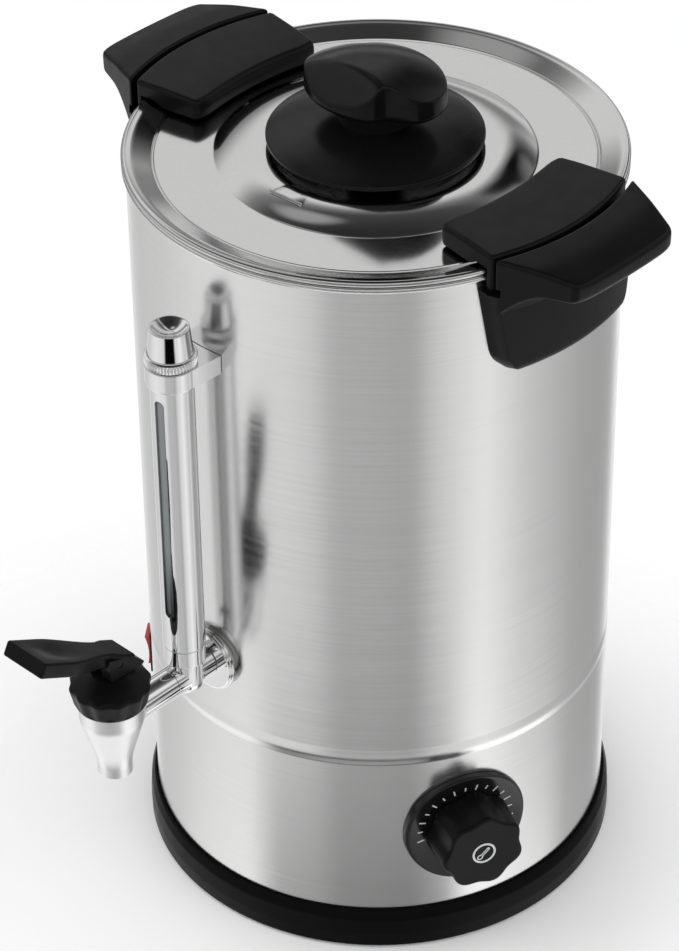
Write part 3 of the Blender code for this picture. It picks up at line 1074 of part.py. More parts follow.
def make_knob(lid):
    """The lid's knob: a bell skirt with a neck, and the moulded grip across its top."""
    low = PLATEAU_Z + SKIRT_UP
    foot = PLATEAU_Z + GAP
    flare = []
    for i in range(6):
        t = i / 5
        radius = NECK_RADIUS + (SKIRT_RADIUS - NECK_RADIUS) * (1 - t) ** 1.9
        z = low + SKIRT_EDGE + (NECK_SHOULDER_Z - low - SKIRT_EDGE) * (1 - (1 - t) ** 2.2) ** 0.8
        flare.append((radius, z))
    hollow = [(r - 0.5 * SKIRT_WALL, z - SKIRT_WALL) for r, z in (flare[3], flare[2], flare[1])]
    hole = SCREW_RADIUS + GAP
    profile = [(hole, foot), (SKIRT_BOSS, foot), (SKIRT_BOSS, hollow[0][1])] + hollow
    profile += [(SKIRT_RADIUS - SKIRT_WALL, low), (SKIRT_RADIUS - 0.0008, low), (SKIRT_RADIUS, low + 0.0010)]
    profile += flare + [(NECK_RADIUS, SKIRT_TOP_Z), (hole, SKIRT_TOP_Z)]
    add("knob_skirt", lathe(profile, 28), "black_moulding", lid)

    count = 32
    rows = ((SKIRT_TOP_Z + GAP, 0.0, 1.0), (GRIP_LOW_Z, 0.90, 0.0), (GRIP_WIDE_Z, 1.0, 0.0),
            (GRIP_TOP_Z, GRIP_DRAFT, 0.0))
    sections = []
    for z, spread, neck in rows:
        radii = [grip_radius(360 * i / count) * spread + NECK_RADIUS * neck for i in range(count)]
        sections.append([(r * math.cos(math.tau * i / count), r * math.sin(math.tau * i / count), z)
                         for i, r in enumerate(radii)])
    turn = math.radians(GRIP_BEARING)
    grip = add("knob_grip", loft(sections), "black_moulding", lid, (0, 0, 0), (0, 0, turn))
    crown = cutter("grip_crown", rod(GRIP_CROWN, -2 * GRIP_HALF_WIDE, 2 * GRIP_HALF_WIDE, 72, "-Y"), lid,
                   (0, 0, GRIP_TOP_Z - GRIP_CROWN), (0, 0, turn))
    boolean(grip, crown, "INTERSECT")
    wide = 3 * GRIP_HALF_LONG
    for i, (bearing, offset, slope) in enumerate(GRIP_FACETS):
        angle = math.radians(bearing)
        spot = (offset * math.cos(angle), offset * math.sin(angle), GRIP_TOP_Z)
        plane = cutter(f"grip_facet_{i + 1}", block((-wide, -wide, 0), (wide, wide, wide)), lid, spot,
                       (0, math.radians(slope), angle))
        cut(grip, plane)
    thread = rod(SCREW_RADIUS + RUN, SKIRT_TOP_Z - 0.005, SKIRT_TOP_Z + GRIP_SCREW_DEEP, TINY)
    cut(grip, cutter("grip_thread", thread, lid))
    head_z = PLATEAU_Z - SHEET - GAP
    screw("knob_screw", lid, (0, 0, head_z), DOWNWARDS, SKIRT_TOP_Z + 0.8 * GRIP_SCREW_DEEP - head_z,
          SKIRT_SCREW_HEAD)


# ---------------------------------------------------------------- thermostat, switch and inlet
def make_thermostat(dial, kettle):
    """The dished bezel, the lobed knob on its spindle, and the regulator with its capillary sensor."""
    front = WALL_RADIUS + BEZEL_PROUD
    bush_hole = DIAL_BUSH + GAP
    profile = [(bush_hole, WALL_RADIUS - 0.008), (BEZEL_RADIUS, WALL_RADIUS - 0.008),
               (BEZEL_RADIUS, front - 0.0018), (BEZEL_RADIUS - 0.0012, front),
               (BEZEL_RADIUS - BEZEL_RIM, front), (BEZEL_RADIUS - BEZEL_RIM - 2 * BEZEL_DISH, DISH_FACE),
               (bush_hole, DISH_FACE)]
    bezel = add("dial_bezel", lathe(profile, 32, "X"), "black_moulding", dial)
    hull = cutter("wall_behind_bezel", rod(WALL_RADIUS + GAP, 0, RIM_Z, TURNS), kettle)
    cut(bezel, hull)

    seat = math.sqrt(WALL_INSIDE ** 2 - THERMOSTAT_HALF_Y ** 2) - GAP
    body = block((seat - THERMOSTAT_DEEP, -THERMOSTAT_HALF_Y, -THERMOSTAT_HALF_Z),
                 (seat, THERMOSTAT_HALF_Y, THERMOSTAT_HALF_Z))
    body = soften(add("thermostat_body", body, "zinc_steel", dial), 0.0012, 1)
    bush = rod(DIAL_BUSH, seat - 0.002, DISH_FACE - GAP, SMALL, "X")
    join(body, cutter("thermostat_bush", bush, dial))
    cut(body, cutter("bush_bore", rod(DIAL_SPINDLE + RUN, seat - 0.012, DISH_FACE + 0.01, SMALL, "X"), dial))
    head_at = DISH_FACE + GAP
    for i, sign in enumerate((-1, 1)):
        spot = (0, sign * DIAL_SCREW_PITCH / 2, 0)
        hole = rod(SCREW_RADIUS + GAP, seat - 0.008, DISH_FACE + 0.01, TINY, "X")
        drill = cutter(f"dial_screw_hole_{i + 1}", hole, dial, spot)
        cut(bezel, drill)
        cut(body, drill)
        screw(f"thermostat_screw_{i + 1}", dial, (head_at, spot[1], 0), OUTWARDS,
              head_at - seat + 0.0065, DIAL_SCREW_HEAD)

    back = DISH_FACE + DIAL_KNOB_LIFT
    end = back + DIAL_KNOB_LENGTH
    spindle_end = end - 0.0050
    add("thermostat_spindle", rod(DIAL_SPINDLE, seat - 0.010, spindle_end - GAP, SMALL, "X"), "zinc_steel", dial)
    bore = DIAL_SPINDLE + GAP
    hollow = DIAL_KNOB_RADIUS - DIAL_KNOB_LOBE - DIAL_KNOB_WALL
    profile = [(0, spindle_end), (bore, spindle_end), (bore, back + 0.003), (DIAL_KNOB_BOSS, back + 0.003),
               (DIAL_KNOB_BOSS, back + DIAL_KNOB_HOLLOW), (hollow, back + DIAL_KNOB_HOLLOW), (hollow, back),
               (DIAL_KNOB_RADIUS - 0.0008, back), (DIAL_KNOB_RADIUS, back + 0.0010),
               (0.985 * DIAL_KNOB_RADIUS, 0.5 * (back + end)), (0.955 * DIAL_KNOB_RADIUS, end - 0.0040),
               (0.90 * DIAL_KNOB_RADIUS, end - 0.0012), (0.80 * DIAL_KNOB_RADIUS, end), (0, end)]
    bm = lathe(profile, 4 * DIAL_KNOB_LOBES)
    for vert in bm.verts:
        radius = vert.co.xy.length
        if radius > hollow + 0.0005:
            angle = math.atan2(vert.co.y, vert.co.x) - math.pi - math.radians(DIAL_KNOB_SET)
            vert.co.xy *= 1 + DIAL_KNOB_LOBE * math.cos(DIAL_KNOB_LOBES * angle) / radius
    add("thermostat_knob", turned(bm, "X"), "black_moulding", dial)

    bearing = math.radians(DIAL_BEARING)
    start = seat - THERMOSTAT_DEEP - GAP - SENSOR_WIRE
    bulb_z = HEATER_LOW_Z - GAP - SENSOR_RADIUS
    dip_z = HEATER_LOW_Z - 2 * ELEMENT_TUBE - 2 * SENSOR_WIRE - 3 * GAP
    route = [(start, DIAL_Z), (start, dip_z - 0.010), (start - 0.010, dip_z), (SENSOR_CIRCLE + 0.0080, dip_z),
             (SENSOR_CIRCLE + 0.0010, bulb_z), (SENSOR_CIRCLE, bulb_z), (SENSOR_CIRCLE - SENSOR_LENGTH, bulb_z)]
    path = [(r * math.cos(bearing), r * math.sin(bearing), z) for r, z in route]
    thick = SENSOR_RADIUS / SENSOR_WIRE
    add_tube("capillary_sensor", path, SENSOR_WIRE, "zinc_steel", kettle, 2, [1, 1, 1, 1, 1, thick, thick])


def make_switch(switch):
    """The switch housing with its open front and the rocker on its pivot."""
    corner = 0.0015
    back = WALL_RADIUS + GAP
    frame = rounded_box(SWITCH_FRAME_Y, SWITCH_FRAME_Z, corner, back, SWITCH_FACE)
    housing = add("switch_housing", frame, "black_moulding", switch)
    body = block((back - SWITCH_DEEP, -SWITCH_BODY_Y, -SWITCH_BODY_Z), (back + 0.001, SWITCH_BODY_Y, SWITCH_BODY_Z))
    join(housing, cutter("switch_body", body, switch))
    well = block((SWITCH_FACE - SWITCH_CAVITY_DEEP, -ROCKER_HALF_Y - RUN, -ROCKER_HALF_Z - 2 * RUN),
                 (SWITCH_FACE + 0.01, ROCKER_HALF_Y + RUN, ROCKER_HALF_Z + 2 * RUN))
    cut(housing, cutter("switch_well", well, switch))

    reach = ROCKER_HALF_Z - 0.0002
    end = math.sqrt(reach ** 2 - ROCKER_PROUD ** 2)
    face = [(ROCKER_PROUD, end), (ROCKER_PROUD - 0.6 * ROCKER_HOLLOW, 0.5 * end),
            (ROCKER_PROUD - ROCKER_HOLLOW, 0)]
    back_half = [(-0.0030, 0.9 * reach), (-ROCKER_BACK, 0.45 * reach)]
    outline = face + [(x, -z) for x, z in face[-2::-1]]
    outline += [(x, -z) for x, z in back_half] + back_half[::-1]
    tilt = math.radians(ROCKER_ANGLE)
    outline = [(x * math.cos(tilt) + z * math.sin(tilt), z * math.cos(tilt) - x * math.sin(tilt))
               for x, z in outline]
    rocker = loft([[(x, y, z) for x, z in outline] for y in (-ROCKER_HALF_Y, ROCKER_HALF_Y)])
    pivot = (SWITCH_FACE, 0, 0)
    soften(add("switch_rocker", rocker, "red_rocker", switch, pivot), 0.0005, 2)


def make_inlet(inlet):
    """The power inlet at the back: a frame on the wall, a keyed recess and three flat pins."""
    back = WALL_RADIUS + GAP
    face = back + INLET_FRAME
    frame = rounded_box(INLET_FRAME_Y, INLET_FRAME_Z, 0.0040, back, face)
    socket = add("power_inlet", frame, "black_moulding", inlet)
    body = block((back - INLET_DEEP, -INLET_BODY_Y, -INLET_BODY_Z), (back + 0.001, INLET_BODY_Y, INLET_BODY_Z))
    join(socket, cutter("inlet_body", body, inlet))
    y, z, c = INLET_RECESS_Y, INLET_RECESS_Z, INLET_CORNER
    outline = [(-y, -z), (y - c, -z), (y, -z + c), (y, z - c), (y - c, z), (-y, z)]
    floor = face - INLET_RECESS
    recess = loft([[(x, a, b) for a, b in outline] for x in (floor, face + 0.01)])
    cut(socket, cutter("inlet_recess", recess, inlet))
    for i in (-1, 0, 1):
        offset = 0.0020 if i == 0 else -0.0010
        pin = block((floor - 0.001, offset - 0.0020, i * INLET_PIN_PITCH - 0.0010),
                    (face - 0.0020, offset + 0.0020, i * INLET_PIN_PITCH + 0.0010))
        join(socket, cutter(f"inlet_pin_{i + 2}", pin, inlet))
    for i, sign in enumerate((-1, 1)):
        spot = (face + GAP, 0, sign * INLET_SCREW_PITCH / 2)
        hole = rod(SCREW_RADIUS + GAP, back - 0.01, face + 0.01, TINY, "X")
        cut(socket, cutter(f"inlet_screw_hole_{i + 1}", hole, inlet, (0, 0, spot[2])))
        screw(f"inlet_screw_{i + 1}", inlet, spot, OUTWARDS, face - WALL_INSIDE + 0.004)


# ---------------------------------------------------------------- the whole kettle
def main():
    """Build every piece on the kettle's axis and its stations."""
    clear_scene()
    kettle = empty("kettle", None, (0, AXIS_Y, 0))
    dial = empty("dial_station", kettle, (0, 0, DIAL_Z), DIAL_BEARING)
    switch = empty("switch_station", kettle, (0, 0, SWITCH_Z), SWITCH_BEARING)
    inlet = empty("inlet_station", kettle, (0, 0, INLET_Z), INLET_BEARING)
    tap = empty("tap_station", kettle, (0, -TAP_AXIS, 0))
    gauge = empty("gauge_station", kettle, (0, -GAUGE_AXIS, 0))
    lid = empty("lid_station", kettle)
    sides = {"right": empty("right_side", kettle), "left": empty("left_side", kettle, (0, 0, 0), 180)}
    make_tank_wall(kettle, dial, switch, inlet, sides)
    make_tank_floor(kettle)
    make_heater(kettle)
    make_base(kettle)
    make_tee(kettle)
    make_tap_body(tap)
    make_bonnet(tap)
    make_spindle(tap)
    make_lever(tap)
    make_gauge(gauge, kettle)
    make_lid(lid, sides)
    for name, side in sides.items():
        make_ear(name, side)
        make_handle(name, side)
    make_knob(lid)
    make_thermostat(dial, kettle)
    make_switch(switch)
    make_inlet(inlet)


main()
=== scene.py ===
"""The finished look of an electric hot-water kettle: fine surfaces, materials, light and camera.

Metres, +Z up. The tap points to -Y and the two side handles lie on +X and -X. A bearing is an angle
about the kettle's own axis, in degrees from +X and anticlockwise from above.
"""
from math import acos, asin, atan2, cos, degrees, dist, exp, hypot, log, pi, radians, sin, sqrt, tan, tau

import bmesh
import bpy
from mathutils import Matrix, Vector


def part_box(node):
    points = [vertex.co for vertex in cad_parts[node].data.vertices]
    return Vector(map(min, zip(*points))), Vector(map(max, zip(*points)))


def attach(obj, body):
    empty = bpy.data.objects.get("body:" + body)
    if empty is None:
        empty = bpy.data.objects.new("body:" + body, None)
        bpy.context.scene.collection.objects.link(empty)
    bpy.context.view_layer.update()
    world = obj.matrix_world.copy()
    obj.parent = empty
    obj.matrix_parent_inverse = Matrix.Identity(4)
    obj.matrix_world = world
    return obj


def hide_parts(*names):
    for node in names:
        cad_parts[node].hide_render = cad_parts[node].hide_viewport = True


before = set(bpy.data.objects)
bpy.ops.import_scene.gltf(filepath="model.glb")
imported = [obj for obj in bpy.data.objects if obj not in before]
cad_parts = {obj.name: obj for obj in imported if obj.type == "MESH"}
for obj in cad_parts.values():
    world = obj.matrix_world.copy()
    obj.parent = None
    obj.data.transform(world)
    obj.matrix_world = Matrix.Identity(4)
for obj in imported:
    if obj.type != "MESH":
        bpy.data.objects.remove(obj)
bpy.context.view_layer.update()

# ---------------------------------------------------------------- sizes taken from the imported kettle
WALL_LOW, WALL_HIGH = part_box("tank_wall")
RING_LOW, RING_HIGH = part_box("base_ring")
BONNET_LOW, BONNET_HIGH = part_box("tap_bonnet")
CONE_LOW, CONE_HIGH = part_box("tap_body")
GLASS_LOW, GLASS_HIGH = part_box("gauge_glass")
GUARD_LOW, GUARD_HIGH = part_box("gauge_guard")
CAP_LOW, CAP_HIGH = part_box("gauge_cap")
HEAD_LOW, HEAD_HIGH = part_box("gauge_head")
PIN_LOW, PIN_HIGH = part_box("lever_pin")
GRIP_LOW, GRIP_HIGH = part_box("knob_grip")
SKIRT_LOW, SKIRT_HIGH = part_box("knob_skirt")

RIM = (WALL_HIGH.x - WALL_LOW.x) / 2
AXIS_Y = (WALL_HIGH.y + WALL_LOW.y) / 2
TAP_Y = (PIN_HIGH.y + PIN_LOW.y) / 2
GAUGE_Y = (GLASS_HIGH.y + GLASS_LOW.y) / 2

# ---------------------------------------------------------------- driving sizes
GAP = 0.0003                        # clearance between pieces that touch
SHEET = 0.0008                      # stainless sheet
ROLL = 0.0016                       # radius of both rolled rims
WALL = RIM - 0.0020                 # outside of the tank wall
ROLL_Z = WALL_HIGH.z - ROLL
LID_ROLL_Z = ROLL_Z + 2 * ROLL + GAP
BEAD_Z, BEAD_PROUD, BEAD_HALF = 0.1240, 0.00040, 0.0045
LEDGE_WIDE, LEDGE_THICK = 0.0150, 0.0027        # the base ring's ledge under the wall
FOOT, FOOT_STUD = 0.0094, 0.0030                # radius of a rubber foot and of its stud
FINE, ROUND, SLIM = 192, 96, 48     # facets round a pressing, a fitting and a shaft

CREST, CREST_Z = 0.1163, LID_ROLL_Z + 0.0012    # the lid, from its rim inwards
CREASE, CREASE_Z = 0.1050, LID_ROLL_Z - 0.0024
STEP_OUT, DOME_IN = 0.0765, 0.0560
PLATEAU_Z = LID_ROLL_Z + 0.0026
LOUVRE_AT, LOUVRE_HALF, LOUVRE_RISE, LOUVRE_DEEP, LOUVRE_TURN = 0.0640, 0.0115, 0.0008, 0.0130, 3.5
LOUVRE_LIP = 0.0004

SKIRT, SKIRT_THICK = 0.0517, 0.0024             # the knob's bell and its neck
SKIRT_LIFT = 0.0034                             # the skirt's edge above its boss
NECK, NECK_SHOULDER_Z = 0.0172, PLATEAU_Z + 0.0134
KNOB_BORE = 0.0023
GRIP_TURN = 8.0
GRIP_HALF_LONG, GRIP_HALF_WIDE, GRIP_POWER = 0.0362, 0.0262, 2.1
GRIP_DENT, GRIP_DENT_AT, GRIP_DENT_WIDE = 0.20, -40.0, 16.0
GRIP_WIDE_UP, GRIP_DRAFT, GRIP_EDGE = 0.0042, 0.03, 0.0020
GRIP_CROWN = 0.0700
GRIP_FALL = (94.0, -0.0050, 7.5)    # bearing, start and steepness of the top's fall to the back
GRIP_FACET = (-100.0, 0.0140, 52.0)             # bearing, start and slope of the front facet

HANDLE_TOP_Z, LEDGE_Z = 0.4120, 0.3932          # the two handles, each an ear and a grip beside it
GROOVE_ANGLE, GROOVE = 22.1, 0.0026
EAR_OUT, EAR_IN, EAR_HALF_IN = 0.1235, 0.0760, 0.0402
EAR_LEG, EAR_CORNER, EAR_HOLLOW = 0.0029, 0.0032, 0.0050
EAR_UNDER, EAR_OVER = 0.0012, 0.0010
LUG_PROUD = 0.0017
HANDLE_REACH, HANDLE_HALF_END, HANDLE_BOW = 0.1562, 0.0322, 0.0012
HANDLE_CORNER, HANDLE_DROOP, HANDLE_PLATE = 0.0028, 0.0048, 0.0100
HANDLE_EDGE = 0.0021
HANDLE_ROOT, HANDLE_ROOT_Z = 0.0026, 0.3840
BRACKET_FRONT, BRACKET_LOW_Z = 0.1285, 0.3478
BRACKET_ANGLE_TOP, BRACKET_ANGLE_LOW = 23.9, 20.0
BRACKET_SIDE, BRACKET_SOFT = 2.4, 0.0100
CHANNEL_DEEP = 0.0025

TAP_PIPE_Z, PIPE, PIPE_BORE = 0.1635, 0.0078, 0.0050
TEE_FRONT, FLANGE = 0.0112, 0.0172
CONE_TOP_Z, NOZZLE_LOW_Z = CONE_HIGH.z, CONE_LOW.z
NOZZLE, NOZZLE_BORE, CONE, CONE_MOUTH, CONE_SKIN = 0.0086, 0.0052, 0.0159, 0.0163, 0.0022
SHOULDER_Z, SEAT_Z = TAP_PIPE_Z + 0.0030, TAP_PIPE_Z - 0.0135
SEAT = 0.0090                                   # floor of the cone's chamber
PLUG = 0.0135                                   # the bonnet's plug in the cone's mouth
BONNET, BONNET_FOOT, BONNET_LAND, BONNET_BORE = 0.0198, 0.0171, 0.0090, 0.00325
BONNET_WIDE_Z = CONE_TOP_Z + 0.0119
BONNET_SCALLOPS, SCALLOP = 12, 0.0005
LEVER_LONG, LEVER_BACK, LEVER_BLADE, LEVER_FLARE = 0.0590, 0.0078, 0.0190, 0.0330
LEVER_ANGLE, LEVER_OVER, LEVER_THICK, LEVER_EDGE = 28.4, 0.0055, 0.0078, 0.0010
LEVER_HUB_HALF, LEVER_NECK_HALF, LEVER_END_HALF = 0.0085, 0.0070, 0.0132
LEVER_HEEL, LEVER_TOE, LEVER_DISH = 0.0150, 0.0062, 0.0016
HEAD_TALL, HEAD_ROUND, NIPPLE = 0.0105, 0.0124, 0.0085
HEAD_ARM_HALF, HEAD_BORE = 0.0134, 0.0053       # half of the arm's width at the wall, and the water way
SLOT_TURN, SLOT_HALF = 9.0, 0.0027              # the guard's slot, and its two ends
SLOT_UNDER_TOP, SLOT_OVER_FOOT = 0.0085, 0.0229
GUARD_THICK, GLASS_THICK, LINER_THICK, LINER_SHORT = 0.0010, 0.0012, 0.0006, 0.0012
CAP_BORE, CAP_SHOULDER, CAP_CROWN, CAP_DISH = 0.00875, 0.0046, 0.0094, 0.0032
CAP_KNURLS, KNURL = 48, 0.00040

DIAL_BEARING, DIAL_Z = -25.0, 0.0742
BEZEL, BEZEL_LIP = 0.0322, 0.0016
BEZEL_PROUD, BEZEL_FLAT = 0.0036, 0.0014        # its rim, and the flat under the knob, above the wall
BEZEL_FLAT_RADIUS = 0.0212
DIAL_KNOB, DIAL_KNOB_SET = 0.0214, -7.2
DIAL_KNOB_BACK, DIAL_KNOB_FACE = 0.0026, 0.0240 # the knob's back and face above the wall
DIAL_LOBES, DIAL_LOBE = 7, 0.0011
SCALE_TICKS, SCALE_TICK, SCALE_RADIUS = 20, 0.0019, 0.0243
SCALE_START, SCALE_STEP = 190.6, 14.0
SIGN, SIGN_LINE, SIGN_LEAN = 0.0062, 0.0011, -45.0
SWITCH_BEARING, SWITCH_Z = -141.6, 0.0930
SWITCH_FRAME = (0.0090, 0.0125)     # half width and half height, as with the body, well and inlet
SWITCH_BODY, SWITCH_BODY_DEEP = (0.0075, 0.0110), 0.0170
SWITCH_WELL, SWITCH_WELL_DEEP = (0.00625, 0.0099), 0.0110
INLET_FRAME, INLET_BODY = (0.0140, 0.0250), (0.0100, 0.0135)
ROCKER_LEAN, ROCKER_HALF, ROCKER_REACH, ROCKER_PROUD, ROCKER_DIP = 4.0, 0.0060, 0.0092, 0.0024, 0.0012
INLET_Z, INLET_PROUD, INLET_DEEP, INLET_BODY_DEEP = 0.0620, 0.0022, 0.0160, 0.0200
RECESS_HALF_Y, RECESS_HALF_Z, RECESS_CHAMFER = 0.0078, 0.0120, 0.0040
INLET_SCREW_AT, INLET_SCREW_BORE = 0.0200, 0.0023
INLET_PIN = (0.0020, 0.0010)        # half width and half thickness of a flat pin
INLET_PIN_STEP = 0.0070
WINDOW = (0.0106, 0.0141)           # half of the wall's opening behind the inlet

VIEW_TURN = 44.4                    # the camera's turn about the kettle, in degrees
VIEW_DOWN, VIEW_ROLL = 0.6363, -0.0139          # its fall and roll, in radians
VIEW_FROM, VIEW_LENS = (-0.0191, -1.4167, 1.2564), 132.77


# ---------------------------------------------------------------- places
def lift(height):
    """A move up."""
    return Matrix.Translation((0, 0, height))


def spin(angle):
    """A turn about Z, in degrees."""
    return Matrix.Rotation(radians(angle), 4, "Z")


def station(bearing=0.0, height=0.0):
    """A place on the kettle's axis whose +X points outwards along a bearing."""
    return Matrix.Translation((0, AXIS_Y, height)) @ spin(bearing)


AT_KETTLE = station()
AT_TAP = Matrix.Translation((0, TAP_Y, 0))
AT_GAUGE = Matrix.Translation((0, GAUGE_Y, 0))
AT_DIAL = station(DIAL_BEARING, DIAL_Z)
AT_SWITCH = station(SWITCH_BEARING, SWITCH_Z)
AT_INLET = station(90, INLET_Z)
TO_X = Matrix.Rotation(radians(90), 4, "Y")
TO_FRONT = Matrix.Rotation(radians(90), 4, "X")
FLIP = Matrix.Rotation(pi, 4, "X")
SIDES = {"right": station(0), "left": station(180)}


# ---------------------------------------------------------------- outlines
def arc(x, y, radius, start, end, steps):
    """Points along an arc, in degrees."""
    angles = [radians(start + (end - start) * i / steps) for i in range(steps + 1)]
    return [(x + radius * cos(a), y + radius * sin(a)) for a in angles]


def ease(t):
    """A smooth step from 0 to 1."""
    t = min(max(t, 0.0), 1.0)
    return t * t * (3 - 2 * t)


def rounded(points, radius, closed=False, steps=4):
    """A line whose corners become curves that start a radius away: one radius, or one for each corner."""
    points = [Vector(p) for p in points]
    radii = radius if isinstance(radius, list) else [radius] * len(points)
    count = len(points)
    line = []
    for i, here in enumerate(points):
        if not closed and i in (0, count - 1):
            line.append(here)
            continue
        back = points[i - 1] - here
        ahead = points[(i + 1) % count] - here
        start = here + back.normalized() * min(radii[i], 0.48 * back.length)
        end = here + ahead.normalized() * min(radii[i], 0.48 * ahead.length)
        for k in range(steps + 1):
            t = k / steps
            line.append((1 - t) ** 2 * start + 2 * t * (1 - t) * here + t * t * end)
    return [tuple(p) for p in line]


def divided(line, length):
    """A line whose long stretches are cut into pieces of about one length."""
    spots = []
    for a, b in zip(line, line[1:]):
        count = max(1, int(dist(a, b) / length))
        spots += [(a[0] + (b[0] - a[0]) * i / count, a[1] + (b[1] - a[1]) * i / count) for i in range(count)]
    return spots + [line[-1]]


# ---------------------------------------------------------------- solids
def skin(rows, closed=False):
    """Join rows of equal length into a solid; a row of one point is a pole."""
    bm = bmesh.new()
    rings = [[bm.verts.new(p) for p in row] for row in rows]
    turns = max(len(ring) for ring in rings)
    pairs = list(zip(rings, rings[1:]))
    if closed:
        pairs.append((rings[-1], rings[0]))
    for low, high in pairs:
        for i in range(turns):
            k = (i + 1) % turns
            ring = [low[i % len(low)], low[k % len(low)], high[k % len(high)], high[i % len(high)]]
            corners = list(dict.fromkeys(ring))
            if len(corners) > 2:
                bm.faces.new(corners)
    return bm


def lathe(profile, turns, closed=False):
    """Turn (radius, height) points about Z; points at radius 0 become poles."""
    angles = [tau * i / turns for i in range(turns)]
    rows = []
    for radius, height in profile:
        around = angles if radius > 1e-7 else [0]
        rows.append([(radius * cos(a), radius * sin(a), height) for a in around])
    return skin(rows, closed)


def loft(sections):
    """Skin a row of equal closed sections and close both ends."""
    bm = bmesh.new()
    rows = [[bm.verts.new(p) for p in section] for section in sections]
    for low, high in zip(rows, rows[1:]):
        for i in range(len(low)):
            k = (i + 1) % len(low)
            bm.faces.new((low[i], low[k], high[k], high[i]))
    bm.faces.new(rows[0])
    bm.faces.new(rows[-1])
    return bm


def prism(outline, low, high):
    """An upright prism."""
    return loft([[(x, y, z) for x, y in outline] for z in (low, high)])


def bar(outline, *ends):
    """A prism along X whose outline is given in Y and Z."""
    return loft([[(x, y, z) for y, z in outline] for x in ends])


def block(low, high):
    """A box between two corners."""
    base = [(low[0], low[1]), (high[0], low[1]), (high[0], high[1]), (low[0], high[1])]
    return prism(base, low[2], high[2])


def slab(half, back, front):
    """A box square to +X and centred on it, with half a width and half a height."""
    return block((back, -half[0], -half[1]), (front, half[0], half[1]))


def rod(radius, low, high, turns=SLIM):
    """A plain round rod along Z."""
    return lathe([(0, low), (radius, low), (radius, high), (0, high)], turns)


def tube(inner, outer, low, high, edge, steps=4):
    """A round tube with soft ends."""
    ends = [(inner, low), (outer, low), (outer, high), (inner, high)]
    return lathe(rounded(ends, edge, True, steps), ROUND, True)


def sector(inner, outer, start, end, low, high, steps=24):
    """A slice of a ring between two bearings and two heights."""
    return prism(arc(0, 0, outer, start, end, steps) + arc(0, 0, inner, end, start, steps), low, high)


def soften(bm, width, steps=3, angle=28):
    """Round every edge that is sharper than an angle."""
    edges = [e for e in bm.edges if len(e.link_faces) == 2 and e.calc_face_angle() > radians(angle)]
    bmesh.ops.bevel(bm, geom=edges, offset=width, segments=steps, profile=0.5, affect="EDGES",
                    clamp_overlap=True)
    return bm


def placed(bm, matrix):
    """The same solid, moved."""
    bm.transform(matrix)
    return bm


def mesh_of(bm, name):
    """A solid as mesh data with its faces outwards."""
    bmesh.ops.recalc_face_normals(bm, faces=bm.faces)
    mesh = bpy.data.meshes.new(name)
    bm.to_mesh(mesh)
    bm.free()
    return mesh


def linked(name, data):
    """A new object in the scene."""
    obj = bpy.data.objects.new(name, data)
    bpy.context.scene.collection.objects.link(obj)
    return obj


def loose(bm):
    """A helper object that holds a solid."""
    return linked("helper", mesh_of(bm, "helper"))


def plus(bm):
    """A step that unites."""
    return "UNION", bm


def minus(bm):
    """A step that cuts away."""
    return "DIFFERENCE", bm


def combined(bm, *steps):
    """Take a solid through its steps, in their order."""
    base = loose(bm)
    helpers = [base]
    for operation, tool in steps:
        helper = loose(tool)
        helpers.append(helper)
        mod = base.modifiers.new("step", "BOOLEAN")
        mod.operation, mod.solver, mod.object = operation, "EXACT", helper
    result = bmesh.new()
    result.from_mesh(base.evaluated_get(bpy.context.evaluated_depsgraph_get()).to_mesh())
    for helper in helpers:
        bpy.data.objects.remove(helper, do_unlink=True)
    bmesh.ops.remove_doubles(result, verts=result.verts, dist=2e-6)
    bmesh.ops.dissolve_degenerate(result, edges=result.edges, dist=1e-6)
    return result


def joined(*solids):
    """Several solids in one mesh."""
    result = bmesh.new()
    for bm in solids:
        mesh = mesh_of(bm, "part")
        result.from_mesh(mesh)
        bpy.data.meshes.remove(mesh)
    return result


def piece(name, bm, material, body, matrix=None, stands_for=(), angle=32):
    """Make the finished piece at the origin, shade it, and let it ride on its body."""
    if matrix:
        bm.transform(matrix)
    mesh = mesh_of(bm, name)
    mesh.materials.append(material)
    mesh.shade_smooth()
    mesh.set_sharp_from_angle(angle=radians(angle))
    obj = linked(name, mesh)
    obj.modifiers.new("even_shading", "WEIGHTED_NORMAL").keep_sharp = True
    shaded = obj.evaluated_get(bpy.context.evaluated_depsgraph_get())
    obj.data = bpy.data.meshes.new_from_object(shaded)
    obj.modifiers.clear()
    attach(obj, body)
    if stands_for:
        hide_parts(*stands_for)


def fixed(name, bm, material, matrix, *stands_for, angle=32):
    """A piece of the kettle itself."""
    piece(name, bm, material, "kettle", matrix, stands_for, angle)


# ---------------------------------------------------------------- materials
class Nodes:
    """A node tree under construction."""

    def __init__(self, tree):
        self.tree = tree

    def node(self, kind, operation=None, **inputs):
        """Add a node; an input is a socket to link or a plain value, and _0 names the first socket."""
        made = self.tree.nodes.new(kind)
        if operation:
            made.operation = operation
        for label, value in inputs.items():
            key = int(label[1:]) if label[0] == "_" else label.replace("_", " ")
            if isinstance(value, bpy.types.NodeSocket):
                self.tree.links.new(value, made.inputs[key])
            else:
                made.inputs[key].default_value = value
        return made

    def math(self, operation, a, b=0.0, c=0.0):
        """One Math node."""
        return self.node("ShaderNodeMath", operation, _0=a, _1=b, _2=c).outputs[0]


